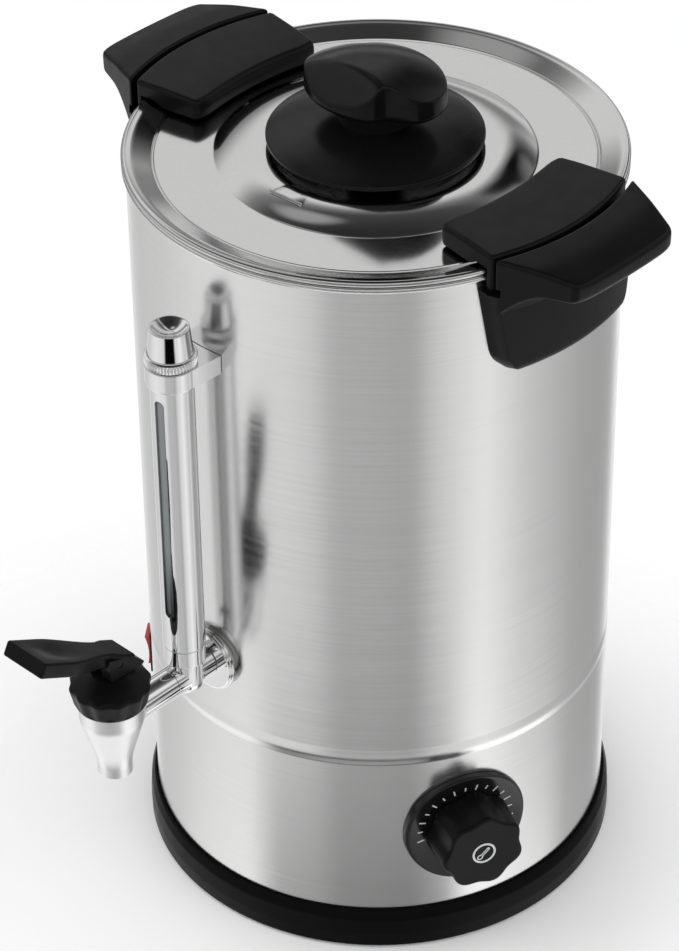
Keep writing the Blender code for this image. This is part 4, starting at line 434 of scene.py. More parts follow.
class Finish(Nodes):
    """A Principled material under construction."""

    def __init__(self, name, color, roughness, metallic=0.0, **settings):
        self.mat = bpy.data.materials.new(name)
        self.mat.use_nodes = True
        super().__init__(self.mat.node_tree)
        self.shader = self.tree.nodes["Principled BSDF"].inputs
        self.color = color
        self.shader["Base Color"].default_value = (*color, 1)
        self.shader["Roughness"].default_value = roughness
        self.shader["Metallic"].default_value = metallic
        for label, value in settings.items():
            self.shader[label.replace("_", " ")].default_value = value
        self.place = self.node("ShaderNodeTexCoord").outputs["Object"]

    def drive(self, socket, field):
        """Let a field set one of the shader's sockets."""
        self.tree.links.new(field, self.shader[socket])

    def noise(self, scale, detail=3.0, rough=0.55):
        """Noise over the piece, with one scale or one for each axis."""
        stretch = scale if isinstance(scale, tuple) else (scale,) * 3
        mapping = self.node("ShaderNodeMapping", Vector=self.place, Scale=stretch)
        return self.node("ShaderNodeTexNoise", Vector=mapping.outputs[0], Scale=1.0, Detail=detail,
                         Roughness=rough).outputs["Fac"]

    def spread(self, field, low, high, start=0.3, end=0.7):
        """A field stretched from one pair of values to another."""
        return self.node("ShaderNodeMapRange", Value=field, From_Min=start, From_Max=end, To_Min=low,
                         To_Max=high).outputs["Result"]

    def shade(self, field, darker, lighter):
        """Vary the base colour between two strengths of itself."""
        ramp = self.node("ShaderNodeValToRGB", Fac=field)
        for stop, position, strength in zip(ramp.color_ramp.elements, (0.3, 0.7), (darker, lighter)):
            stop.position = position
            stop.color = (*[min(c * strength, 1) for c in self.color], 1)
        self.drive("Base Color", ramp.outputs["Color"])

    def gloss(self, field, low, high):
        """Vary the roughness."""
        self.drive("Roughness", self.spread(field, low, high))

    def bump(self, field, height, strength):
        """Raise the surface by a field, in metres."""
        self.drive("Normal", self.node("ShaderNodeBump", Height=field, Distance=height,
                                       Strength=strength).outputs["Normal"])


def finish(name, color, roughness, tint, haze=None, grain=None, metallic=0.0, **settings):
    """A finish that varies over the piece: each of tint, haze and grain is a noise's scale and detail,
    then the darkest and lightest shade, the least and most roughness, or the height and strength."""
    f = Finish(name, color, roughness, metallic, **settings)
    f.shade(f.noise(*tint[:2]), *tint[2:])
    if haze:
        f.gloss(f.noise(*haze[:2]), *haze[2:])
    if grain:
        f.bump(f.noise(*grain[:2]), *grain[2:])
    return f.mat


def brushed_wall():
    """Satin stainless sheet, brushed round the tank."""
    f = Finish("brushed_wall_steel", (0.78, 0.78, 0.775), 0.20, 1.0)
    lines = f.noise((7, 7, 1100), 4, 0.6)
    f.shade(lines, 0.985, 1.012)
    f.gloss(f.noise((14, 14, 700), 2), 0.175, 0.225)
    f.bump(lines, 0.000002, 0.25)
    return f.mat


def tap_plating():
    """Satin plating on the tap's cone, bright on the pipe behind it."""
    f = Finish("tap_plating", (0.90, 0.90, 0.905), 0.05, 1.0)
    f.shade(f.noise(180, 3), 0.985, 1.01)
    beside = f.node("ShaderNodeMapping", Vector=f.place, Location=(0, -TAP_Y, 0), Scale=(1, 1, 0)).outputs[0]
    away = f.node("ShaderNodeVectorMath", "LENGTH", _0=beside).outputs["Value"]
    f.drive("Roughness", f.spread(away, 0.36, 0.05, 0.0168, 0.0180))
    return f.mat


def liner_glass():
    """The liner's milky green glass, which darkens towards its lower end."""
    f = Finish("milky_gauge_liner", (0.200, 0.225, 0.228), 0.12, IOR=1.47)
    height = f.node("ShaderNodeSeparateXYZ", _0=f.place).outputs["Z"]
    f.shade(f.spread(height, 0.3, 0.7, GUARD_LOW.z + 0.02, GUARD_LOW.z + 0.06), 0.12, 1.0)
    f.gloss(f.noise((200, 200, 40), 2), 0.08, 0.16)
    return f.mat


def moulding(name, color, roughness, sheen):
    """Black moulded plastic with a fine spark-eroded grain and slightly polished patches."""
    return finish(name, color, roughness, (70, 4, 0.88, 1.14), (120, 4, roughness - 0.04, roughness + 0.05),
                  (2600, 2, 0.00001, 0.35), Specular_IOR_Level=sheen)


def metal(name, color, roughness):
    """A plain machined or plated metal."""
    return finish(name, color, roughness, (500, 4, 0.93, 1.05), (260, 3, roughness - 0.05, roughness + 0.07),
                  metallic=1.0)


STEEL_WALL = brushed_wall()
STEEL_LID = finish("polished_lid_steel", (0.68, 0.68, 0.675), 0.10, ((500, 500, 60), 2, 0.985, 1.01),
                   (26, 4, 0.08, 0.13), metallic=1.0)
STEEL_FLOOR = finish("tank_floor_steel", (0.58, 0.58, 0.575), 0.33, (60, 4, 0.93, 1.04),
                     (400, 2, 0.29, 0.38), metallic=1.0)
CHROME = finish("bright_chrome", (0.84, 0.84, 0.845), 0.05, (180, 3, 0.985, 1.01), (90, 3, 0.035, 0.075),
                metallic=1.0)
TAP_PLATING = tap_plating()
BLACK = moulding("satin_black_moulding", (0.0034, 0.0034, 0.0036), 0.34, 0.16)
BLACK_KNOB = moulding("knob_black_moulding", (0.0040, 0.0040, 0.0042), 0.24, 0.24)
BLACK_BASE = moulding("base_black_moulding", (0.0028, 0.0028, 0.0030), 0.34, 0.07)
BLACK_BEZEL = moulding("bezel_black_moulding", (0.0060, 0.0060, 0.0062), 0.22, 0.45)
BLACK_GLOSS = moulding("glossy_black_moulding", (0.0045, 0.0045, 0.0047), 0.20, 0.35)
SILICONE = finish("milky_silicone", (0.72, 0.71, 0.68), 0.5, (300, 3, 0.95, 1.03), (500, 3, 0.45, 0.6))
RUBBER = finish("matt_rubber", (0.022, 0.022, 0.022), 0.8, (400, 4, 0.8, 1.25), None, (1800, 3, 0.00005, 0.4))
GLASS = finish("gauge_glass_tube", (0.36, 0.43, 0.415), 0.10, ((60, 60, 26), 3, 0.90, 1.06),
               ((200, 200, 40), 2, 0.05, 0.14), Transmission_Weight=0.35, IOR=1.47)
LINER = liner_glass()
RED = finish("red_rocker_lens", (0.55, 0.012, 0.018), 0.18, (160, 3, 0.9, 1.1), (240, 3, 0.14, 0.24),
             Coat_Weight=0.4, Coat_Roughness=0.05)
ALUMINIUM = metal("cast_aluminium", (0.66, 0.66, 0.665), 0.42)
ZINC = metal("zinc_plated_steel", (0.55, 0.56, 0.58), 0.34)
# near-black steel for the lever pin: painted shade, so that the pin stays as dark as the shadow round the
# lever's hub
PIN_STEEL_PAINTED_SHADE = metal("blackened_steel", (0.03, 0.03, 0.03), 0.35)
BRASS = metal("nickelled_brass", (0.70, 0.68, 0.62), 0.28)
PRINT = finish("pale_print", (0.62, 0.63, 0.63), 0.5, (900, 3, 0.85, 1.08), (700, 2, 0.42, 0.58))


# ---------------------------------------------------------------- geometry nodes
class Tree(Nodes):
    """A Geometry Nodes tree under construction, with named inputs."""

    def __init__(self, name, item, floats):
        super().__init__(bpy.data.node_groups.new(name, "GeometryNodeTree"))
        sockets = {"Geometry": "Geometry", **item, **dict.fromkeys(floats, "Float"), "Finish": "Material"}
        for label, kind in sockets.items():
            self.tree.interface.new_socket(label, in_out="INPUT", socket_type="NodeSocket" + kind)
        self.tree.interface.new_socket("Geometry", in_out="OUTPUT", socket_type="NodeSocketGeometry")
        self.given = self.tree.nodes.new("NodeGroupInput").outputs
        self.result = self.tree.nodes.new("NodeGroupOutput").inputs

    def finish(self, geometry):
        """Realize the copies, set the material and close the tree."""
        real = self.node("GeometryNodeRealizeInstances", Geometry=geometry).outputs[0]
        done = self.node("GeometryNodeSetMaterial", Geometry=real, Material=self.given["Finish"]).outputs[0]
        self.tree.links.new(done, self.result["Geometry"])
        return self.tree


def ring_tree():
    """Copies of one item along a circle about Z, every second one stretched outwards."""
    tree = Tree("copies_round_a_circle", {"Item": "Object", "Count": "Int"},
                ["Radius", "Start", "Step", "Second stretch"])
    given = tree.given
    index = tree.node("GeometryNodeInputIndex").outputs[0]
    angle = tree.math("MULTIPLY_ADD", index, given["Step"], given["Start"])
    x = tree.math("MULTIPLY", tree.math("COSINE", angle), given["Radius"])
    y = tree.math("MULTIPLY", tree.math("SINE", angle), given["Radius"])
    spot = tree.node("ShaderNodeCombineXYZ", X=x, Y=y).outputs[0]
    line = tree.node("GeometryNodeMeshLine", Count=given["Count"]).outputs[0]
    points = tree.node("GeometryNodeSetPosition", Geometry=line, Position=spot).outputs[0]
    item = tree.node("GeometryNodeObjectInfo", Object=given["Item"]).outputs["Geometry"]
    turn = tree.node("ShaderNodeCombineXYZ", Z=angle).outputs[0]
    second = tree.math("MODULO", index, 2.0)
    stretch = tree.math("MULTIPLY_ADD", second, tree.math("SUBTRACT", given["Second stretch"], 1.0), 1.0)
    size = tree.node("ShaderNodeCombineXYZ", X=stretch, Y=1.0, Z=1.0).outputs[0]
    copies = tree.node("GeometryNodeInstanceOnPoints", Points=points, Instance=item, Rotation=turn,
                       Scale=size)
    return tree.finish(copies.outputs[0])


def lobe_tree():
    """Waves round Z on the side of a turned piece, faded in between two radii and two heights."""
    tree = Tree("lobes_round_a_turned_piece", {},
                ["Lobes", "Depth", "Phase", "Inner", "Outer", "Low", "High", "Fade"])
    given = tree.given
    place = tree.node("GeometryNodeInputPosition").outputs[0]
    split = tree.node("ShaderNodeSeparateXYZ", Vector=place).outputs
    angle = tree.math("SUBTRACT", tree.math("ARCTAN2", split["Y"], split["X"]), given["Phase"])
    wave = tree.math("COSINE", tree.math("MULTIPLY", angle, given["Lobes"]))
    flat = tree.node("ShaderNodeCombineXYZ", X=split["X"], Y=split["Y"]).outputs[0]
    radius = tree.node("ShaderNodeVectorMath", "LENGTH", _0=flat).outputs["Value"]

    def fade(value, low, high):
        node = tree.node("ShaderNodeMapRange", Value=value, From_Min=low, From_Max=high)
        node.interpolation_type = "SMOOTHSTEP"
        return node.outputs[0]

    side = fade(radius, given["Inner"], given["Outer"])
    over = fade(split["Z"], given["Low"], tree.math("ADD", given["Low"], given["Fade"]))
    under = fade(split["Z"], given["High"], tree.math("SUBTRACT", given["High"], given["Fade"]))
    depth = tree.math("MULTIPLY", under, given["Depth"])
    amount = tree.math("MULTIPLY", tree.math("MULTIPLY", side, over), depth)
    push = tree.math("DIVIDE", tree.math("MULTIPLY", wave, amount), tree.math("ADD", radius, 1e-6))
    offset = tree.node("ShaderNodeVectorMath", "SCALE", _0=flat, Scale=push).outputs[0]
    waved = tree.node("GeometryNodeSetPosition", Geometry=given["Geometry"], Offset=offset)
    return tree.finish(waved.outputs[0])


RING_TREE = ring_tree()
LOBE_TREE = lobe_tree()


def grown(bm, tree, **values):
    """Run a tree on a solid and return what it makes as a solid of its own."""
    base = loose(bm)
    mod = base.modifiers.new("tree", "NODES")
    mod.node_group = tree
    helpers = [base]
    for socket in tree.interface.items_tree:
        if socket.in_out != "INPUT" or socket.name == "Geometry":
            continue
        value = values[socket.name.replace(" ", "_")]
        if isinstance(value, bmesh.types.BMesh):
            value = loose(value)
            helpers.append(value)
        mod[socket.identifier] = value
    graph = bpy.context.evaluated_depsgraph_get()
    result = bmesh.new()
    result.from_mesh(bpy.data.meshes.new_from_object(base.evaluated_get(graph), depsgraph=graph))
    for helper in helpers:
        bpy.data.objects.remove(helper, do_unlink=True)
    return result


def round_copies(item, count, radius, start, step, material, stretch=1.0):
    """Copies of an item round a circle, angles in degrees."""
    return grown(bmesh.new(), RING_TREE, Item=item, Count=count, Radius=radius, Start=radians(start),
                 Step=radians(step), Second_stretch=stretch, Finish=material)


def lobed(bm, material, lobes, depth, phase, inner, outer, low, high, fade):
    """A turned solid with waves round its side."""
    return grown(bm, LOBE_TREE, Lobes=float(lobes), Depth=depth, Phase=phase, Inner=inner, Outer=outer,
                 Low=low, High=high, Fade=fade, Finish=material)


# ---------------------------------------------------------------- tank and base
def bead(radius, steps=6):
    """The locating bead's section on a sheet of the given radius, upwards."""
    offsets = ((0, -1.2), (0, -1), (BEAD_PROUD, 0), (0, 1), (0, 1.2))
    corners = [(radius + out, BEAD_Z + up * BEAD_HALF) for out, up in offsets]
    return rounded(corners, [0, 0.0009, 0.0020, 0.0009, 0], False, steps)


def make_tank():
    """The sheet tube with its rolled rim and bead, and the pressed floor inside it."""
    inside = WALL - SHEET
    centre = RIM - ROLL
    start = -degrees(acos((WALL - centre) / ROLL))
    end = 360 - degrees(acos((inside - centre) / ROLL))
    foot = WALL_LOW.z
    profile = [(WALL, foot)] + bead(WALL) + arc(centre, ROLL_Z, ROLL, start, end, 20)
    profile += bead(inside)[::-1] + [(inside, foot)]
    window = slab(WINDOW, WALL - 0.01, WALL + 0.01)
    sheet = combined(lathe(profile, FINE, True), minus(placed(window, AT_KETTLE.inverted() @ AT_INLET)))
    fixed("tank_sheet", sheet, STEEL_WALL, AT_KETTLE, "tank_wall")

    low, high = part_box("tank_floor")
    edge = high.x
    corner = 0.003
    top = arc(edge - corner, high.z - corner, corner, 0, 90, 6)
    under = arc(edge - corner, high.z - corner, corner - SHEET, 90, 0, 6)
    profile = [(edge, low.z)] + top + [(0, high.z)]
    profile += [(0, high.z - SHEET)] + under + [(edge - SHEET, low.z)]
    fixed("pressed_floor", lathe(profile, FINE, True), STEEL_FLOOR, AT_KETTLE, "tank_floor")


def make_base():
    """The moulded base ring, the rubber feet and the screws of the plate between them."""
    outer = RING_HIGH.x - 0.0001
    low, high = RING_LOW.z, RING_HIGH.z
    seat = WALL + GAP
    ledge = WALL_LOW.z - GAP
    ledge_in = WALL - LEDGE_WIDE
    skirt = outer - LEDGE_THICK
    corners = [(skirt, low), (outer, low), (outer + 0.0001, 0.4 * high), (outer - 0.0005, 0.78 * high),
               (seat + 0.0014, high), (seat, high), (seat, ledge), (ledge_in, ledge),
               (ledge_in, ledge - LEDGE_THICK), (skirt, ledge - LEDGE_THICK)]
    profile = rounded(corners, 0.0008, True)
    fixed("base_moulding", lathe(profile, FINE, True), BLACK_BASE, AT_KETTLE, "base_ring")

    plate_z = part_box("base_plate")[0].z - GAP
    foot_low, foot_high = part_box("foot_1")
    x, y = (foot_low.x + foot_high.x) / 2, (foot_low.y + foot_high.y) / 2 - AXIS_Y
    foot = [(0, 0.0006), (0.5 * FOOT, 0.0006), (0.6 * FOOT, 0), (FOOT, 0), (FOOT, plate_z),
            (FOOT_STUD, plate_z), (FOOT_STUD, foot_high.z), (0, foot_high.z)]
    item = lathe(rounded(foot, 0.0004, False, 3), SLIM)
    feet = round_copies(item, 4, hypot(x, y), 45, 90, RUBBER)
    piece("rubber_feet", feet, RUBBER, "kettle", AT_KETTLE, [f"foot_{i + 1}" for i in range(4)])

    low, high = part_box("base_screw_1")
    x, y = (low.x + high.x) / 2, (low.y + high.y) / 2 - AXIS_Y
    item = placed(pan_screw(high.z - plate_z), lift(plate_z) @ FLIP)
    screws = round_copies(item, 4, hypot(x, y), degrees(atan2(y, x)), 90, ZINC)
    piece("base_screws", screws, ZINC, "kettle", AT_KETTLE, [f"base_screw_{i + 1}" for i in range(4)])


def pan_screw(length, head=0.0036, shank=0.0020, high=0.0018):
    """A pan-head screw with a cross recess: its head stands on z = 0 and its shank runs down."""
    profile = [(0, -length), (shank, -length), (shank, 0), (head, 0), (head, 0.45 * high), (0.7 * head, high),
               (0, high)]
    screw = lathe(rounded(profile, 0.0003, False, 2), 24)
    wide = 0.5 * head
    thin = 0.11 * head
    bars = [block((-wide, -thin, 0.3 * high), (wide, thin, 2 * high)),
            block((-thin, -wide, 0.3 * high), (thin, wide, 2 * high))]
    return combined(screw, *[minus(cut) for cut in bars])


# ---------------------------------------------------------------- lid
def plateau(radius):
    """Height of the lid's raised middle, which falls away in a dome towards its step."""
    past = max(0.0, radius - DOME_IN) / (STEP_OUT - DOME_IN)
    return PLATEAU_Z - (PLATEAU_Z - CREASE_Z) * past * past


def lid_top(drop=0.0):
    """The lid's outline from its crest to the flat of its raised middle."""
    flat = 0.003
    trough = [(CREST, CREST_Z), (CREST - 0.0012, CREST_Z - 0.0002), (CREASE + 0.0009, CREASE_Z + 0.0002),
              (CREASE + 0.0003, CREASE_Z - 0.0008), (CREASE - 0.0002, CREASE_Z - 0.0008),
              (CREASE - 0.0008, CREASE_Z), (CREASE - flat, CREASE_Z)]
    line = rounded(trough, [0, 0.0018, 0.0003, 0.0002, 0.0002, 0.0003, 0], False, 6)
    dome = [(r, plateau(r)) for r in (STEP_OUT + (DOME_IN - STEP_OUT) * i / 24 for i in range(25))]
    line += rounded([(STEP_OUT + flat, CREASE_Z), dome[0], dome[2]], 0.0008, False, 6) + dome[3:]
    return [(r, z - drop) for r, z in line]


def louvre(below, wide, rise, at, deep, rows=20, columns=24):
    """The pressed hood of the steam louvre, or the space under it."""
    sections = []
    for k in range(rows + 1):
        t = k / rows
        half = wide * (1 - 0.3 * t)
        y = -at + deep * t
        spots = [half * (2 * i / columns - 1) for i in range(columns + 1)]
        sink = 0.0002
        top = [(x, y, plateau(hypot(x, y)) - sink + (rise + sink) * (1 - t) * (1 - (x / half) ** 4) ** 2)
               for x in spots]
        foot = plateau(hypot(half, y)) - below
        sections.append(top + [(half, y, foot), (-half, y, foot)])
    return loft(sections)


def make_lid():
    """The pressed lid with its rolled rim and steam louvre, and the seal under it."""
    centre = RIM - ROLL
    join = degrees(asin((CREST_Z - SHEET - LID_ROLL_Z) / ROLL))
    roll = arc(centre, LID_ROLL_Z, ROLL, 180 - join, 480, 24)
    profile = [(KNOB_BORE, PLATEAU_Z - SHEET)] + lid_top(SHEET)[::-1] + roll
    profile += lid_top() + [(KNOB_BORE, PLATEAU_Z)]
    turn = spin(LOUVRE_TURN)
    hood = louvre(0.5 * SHEET, LOUVRE_HALF, LOUVRE_RISE, LOUVRE_AT, LOUVRE_DEEP)
    scoop = louvre(2 * SHEET, 0.92 * LOUVRE_HALF, 0.5 * LOUVRE_RISE, LOUVRE_AT + 0.001, 0.8 * LOUVRE_DEEP)
    steps = [plus(placed(hood, turn)), minus(placed(scoop, turn))]
    for out, up in ((0.0001, LOUVRE_RISE), (0.0004, 0.0)):
        lip = placed(rod(LOUVRE_LIP, -0.84 * LOUVRE_HALF, 0.84 * LOUVRE_HALF, 16), TO_X)
        out += LOUVRE_AT
        steps.append(plus(placed(lip, turn @ Matrix.Translation((0, -out, plateau(out) + up)))))
    pan = combined(lathe(profile, FINE, True), *steps)
    piece("lid_pressing", pan, STEEL_LID, "lid", AT_KETTLE, ["lid_pan"], 40)

    low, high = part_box("lid_seal")
    outer = high.x
    inner = outer - 0.0040
    corners = [(inner + 0.0010, low.z), (outer - 0.0006, low.z), (outer, high.z), (inner, high.z - 0.0022)]
    piece("seal_ring", lathe(rounded(corners, 0.0007, True), FINE, True), SILICONE, "lid_seat", AT_KETTLE,
          ["lid_seal"])


def make_skirt():
    """The bell skirt under the lid's knob."""
    low = SKIRT_LOW.z + SKIRT_LIFT
    top = SKIRT_HIGH.z
    thick = SKIRT_THICK
    flare = []
    for i in range(33):
        t = i / 32
        radius = NECK + (SKIRT - NECK) * (1 - t) ** 1.9
        z = low + thick + (NECK_SHOULDER_Z - low - thick) * (1 - (1 - t) ** 2.2) ** 0.8
        flare.append((radius, z))
    hollow = [(r - 0.5 * thick, z - thick) for r, z in flare[3:22]][::-1]
    boss = 0.0120
    profile = [(KNOB_BORE, SKIRT_LOW.z), (boss, SKIRT_LOW.z), (boss, hollow[0][1])] + hollow
    profile += rounded([hollow[-1], (SKIRT - thick, low), (SKIRT, low), flare[0], flare[2]], 0.0007)[1:-1]
    profile += flare[2:] + rounded([flare[-1], (NECK, top), (KNOB_BORE, top)], 0.0006)[1:]
    piece("knob_bell", lathe(profile, FINE, True), BLACK_KNOB, "lid", AT_KETTLE, ["knob_skirt"])


def grip_radius(bearing):
    """The grip's outline: an oblong with a thumb dent on each side; degrees from its long axis."""
    along = abs(cos(radians(bearing))) / GRIP_HALF_LONG
    across = abs(sin(radians(bearing))) / GRIP_HALF_WIDE
    radius = (along ** GRIP_POWER + across ** GRIP_POWER) ** (-1 / GRIP_POWER)
    for side in (0, 180):
        away = (bearing - GRIP_DENT_AT - side + 180) % 360 - 180
        radius *= 1 - GRIP_DENT * exp(-(away / GRIP_DENT_WIDE) ** 2)
    return radius


def grip_top(x, y):
    """Height of the grip's top: a crown that falls away to the back, and one sloping facet in front."""
    def past(bearing, offset):
        angle = radians(bearing)
        return x * cos(angle) + y * sin(angle) - offset

    top = GRIP_HIGH.z
    fall = GRIP_FALL[2] * max(0.0, past(*GRIP_FALL[:2])) ** 2
    crown = top - GRIP_CROWN + sqrt(GRIP_CROWN ** 2 - x * x) - fall
    facet = top - past(*GRIP_FACET[:2]) * tan(radians(GRIP_FACET[2]))
    soft = 0.0012
    least = min(crown, facet)
    return least - soft * log(exp((least - crown) / soft) + exp((least - facet) / soft))


def make_grip():
    """The moulded grip: an oblong with a crowned top and a sloping facet."""
    count = 144
    low, top = GRIP_LOW.z, GRIP_HIGH.z
    edge = GRIP_EDGE
    columns = []
    for i in range(count):
        angle = tau * i / count
        wide = grip_radius(degrees(angle))

        def side(z):
            return wide * (1 - GRIP_DRAFT * max(0.0, z - low - GRIP_WIDE_UP) / (top - low))

        mouth = grip_top(wide * cos(angle), wide * sin(angle))
        rim = side(mouth)
        mouth = grip_top(rim * cos(angle), rim * sin(angle))
        line = [(NECK - 0.0002, low), (0.88 * wide, low + 0.0011), (0.955 * wide, low + 0.0019),
                (0.99 * wide, low + 0.0031)]
        first = low + GRIP_WIDE_UP
        line += [(side(first + (mouth - edge - first) * k / 8), first + (mouth - edge - first) * k / 8)
                 for k in range(8)]
        inner = rim - edge
        inner_z = grip_top(inner * cos(angle), inner * sin(angle))
        line += rounded([line[-1], (rim, mouth), (inner, inner_z)], edge, False, 5)[1:-1]
        for k in range(1, 40):
            r = inner * (1 - k / 40)
            line.append((r, grip_top(r * cos(angle), r * sin(angle))))
        columns.append([(r * cos(angle), r * sin(angle), z) for r, z in line])
    rows = [[(0, 0, low)]] + [list(row) for row in zip(*columns)] + [[(0, 0, grip_top(0, 0))]]
    turn = spin(GRIP_TURN)
    piece("knob_handgrip", skin(rows), BLACK_KNOB, "lid", AT_KETTLE @ turn, ["knob_grip"], 60)


# ---------------------------------------------------------------- handles
def stations(edge, radius):
    """Shares of a handle's half angle, each with how far its section is drawn in to round the two ends."""
    span = radians(GROOVE_ANGLE) * radius
    ends = [(1 - edge * (1 - cos(radians(a))) / span, edge * (1 - sin(radians(a))))
            for a in (90, 70, 50, 30, 12, 0)]
    middle = [(-0.94 + 1.88 * i / 24, 0.0) for i in range(25)]
    return [(-u, inset) for u, inset in ends[::-1]] + middle + ends


def spine(share, radius, end):
    """Where a section stands at a share of the half angle: its start, its direction and its length."""
    angle = radians(share * GROOVE_ANGLE)
    start = Vector((radius * cos(angle), radius * sin(angle)))
    across = Vector(end) - start
    return start, across.normalized(), across.length


def make_ear(name, place):
    """The lid's half of a handle: a plate over the rim with a leg outside it and a locking lug."""
    edge = HANDLE_EDGE
    over = LID_ROLL_Z + ROLL + EAR_OVER
    under = CREASE_Z + EAR_UNDER
    foot = LEDGE_Z + GAP
    small = 0.0005
    sections = []
    for share, inset in stations(edge, EAR_OUT):
        end = (EAR_IN + EAR_HOLLOW * (1 - share * share), EAR_HALF_IN * share)
        start, step, length = spine(share, EAR_OUT, end)
        reach = length - EAR_CORNER * abs(share) ** 14 - inset
        top = HANDLE_TOP_Z - inset
        low = under + 0.6 * inset
        corners = [(inset, foot), (inset, top), (0.35 * reach, top), (0.7 * reach, top - 0.0001),
                   (reach - 0.0012, top - 0.0008), (reach, top - 0.0040), (reach - 0.0004, low),
                   (EAR_LEG + 0.0130, low), (EAR_LEG + 0.0075, over), (EAR_LEG, over), (EAR_LEG, foot)]
        radii = [small, edge, 0.004, 0.004, edge, edge, edge, 0.0015, 0.0015, small, small]
        line = rounded(corners, [max(r - inset, 0.0002) for r in radii], True)
        sections.append([(*(start + step * s), z) for s, z in line])
    lug = sector(EAR_OUT - 0.5 * EAR_LEG, EAR_OUT + LUG_PROUD, -8, 4, foot, foot + 0.0025)
    ear = combined(loft(sections), plus(lug))
    piece(f"ear_moulding_{name}", ear, BLACK, "lid", place, [f"lid_ear_{name}"], 38)


def bracket():
    """The part of a handle that lies on the wall: its lower edge curves in towards the wall."""
    back = WALL + GAP
    high = LEDGE_Z - BRACKET_LOW_Z
    rows = [BRACKET_SOFT * (1 - cos(radians(a))) for a in (0, 12, 24, 36, 48, 60, 75, 90)]
    sections = []
    for up in rows + [0.5 * high, 0.75 * high, high]:
        share = up / high
        fall = max(0.0, 1 - up / BRACKET_SOFT)
        angle = BRACKET_ANGLE_LOW + (BRACKET_ANGLE_TOP - BRACKET_ANGLE_LOW) * share
        angle -= 0.21 * BRACKET_ANGLE_LOW * (1 - sqrt(1 - fall * fall))
        front = BRACKET_FRONT - 0.55 * (BRACKET_FRONT - back) * max(0.0, 1 - up / (0.5 * BRACKET_SOFT)) ** 3
        tip = angle - BRACKET_SIDE
        soft = radians(angle - 0.35 * BRACKET_SIDE)
        middle = back + 0.6 * (front - back)
        flank = (middle * cos(soft), middle * sin(soft))
        outline = arc(0, 0, back, -angle, angle, 24) + [flank] + arc(0, 0, front, tip, -tip, 24)
        outline.append((flank[0], -flank[1]))
        sections.append([(x, y, BRACKET_LOW_Z + up) for x, y in outline])
    return soften(loft(sections), 0.0007, 3, 34)


def make_handle(name, place):
    """A side handle: the bracket on the wall, the grip beside the lid's ear and the catch for its lug."""
    edge = HANDLE_EDGE
    inner = EAR_OUT + GROOVE
    sections = []
    for share, inset in stations(edge, inner):
        end = (HANDLE_REACH - HANDLE_BOW * share * share, HANDLE_HALF_END * share)
        start, step, length = spine(share, inner, end)
        reach = length - HANDLE_CORNER * abs(share) ** 12 - inset
        top = HANDLE_TOP_Z - inset
        low = HANDLE_TOP_Z - HANDLE_DROOP - HANDLE_PLATE + 0.6 * inset
        under = 0.66 * reach
        corners = [(inset, LEDGE_Z - 0.002), (inset, top), (0.5 * reach, top - 0.25 * HANDLE_DROOP),
                   (reach, top - HANDLE_DROOP), (reach - 0.0004, low), (under, low)]
        radii = [0, edge - 0.8 * inset, 0.006, edge + 0.0008 - inset, edge + 0.0012 - inset, 0]
        line = rounded(corners, radii)[:-1]
        line += [(under - (under - HANDLE_ROOT) * k / 9, low - (low - HANDLE_ROOT_Z) * (k / 9) ** 1.7)
                 for k in range(10)]
        sections.append([(*(start + step * s), z) for s, z in line])
    slot = sector(inner - 0.002, inner + CHANNEL_DEEP, -2 * GROOVE_ANGLE, 2 * GROOVE_ANGLE, LEDGE_Z - 0.00025,
                  LEDGE_Z + 0.0036, 64)
    catch_z = LEDGE_Z + 0.0031
    catch = sector(inner - 0.0020, inner + 0.001, 5, 17, catch_z, catch_z + 0.0030)
    handle = combined(loft(sections), plus(bracket()), minus(slot), plus(catch))
    fixed(f"handle_moulding_{name}", handle, BLACK, place, f"handle_{name}", angle=38)


# ---------------------------------------------------------------- tap
def make_cone():
    """The plated body of the tap: nozzle, cone, collar and inlet pipe, with its chamber and bores."""
    corners = [(0, NOZZLE_LOW_Z), (NOZZLE, NOZZLE_LOW_Z), (NOZZLE, TAP_PIPE_Z - 0.0215), (CONE, SHOULDER_Z),
               (CONE_MOUTH, CONE_TOP_Z), (0, CONE_TOP_Z)]
    outside = rounded(corners, [0, 0.0008, 0.0060, 0.0020, 0.0005, 0], False, 8)
    front = TAP_Y - GAUGE_Y + TEE_FRONT + GAP
    pipe = placed(lathe([(0, 0), (PIPE, 0), (PIPE, front), (0, front)], SLIM), TO_FRONT)
    mouth = CONE_MOUTH - CONE_SKIN
    inside = [(0, SEAT_Z), (SEAT, SEAT_Z), (CONE - CONE_SKIN, SHOULDER_Z), (mouth, CONE_TOP_Z),
              (mouth, CONE_TOP_Z + 0.01), (0, CONE_TOP_Z + 0.01)]
    bore = placed(rod(PIPE_BORE, -0.06, 0), TO_FRONT)
    height = lift(TAP_PIPE_Z)
    body = combined(lathe(outside, ROUND), plus(placed(pipe, height)),
                    minus(lathe(inside, ROUND)), minus(rod(NOZZLE_BORE, NOZZLE_LOW_Z - 0.01, TAP_PIPE_Z)),
                    minus(placed(bore, height)))
    fixed("tap_casting", body, TAP_PLATING, AT_TAP, "tap_body", angle=40)


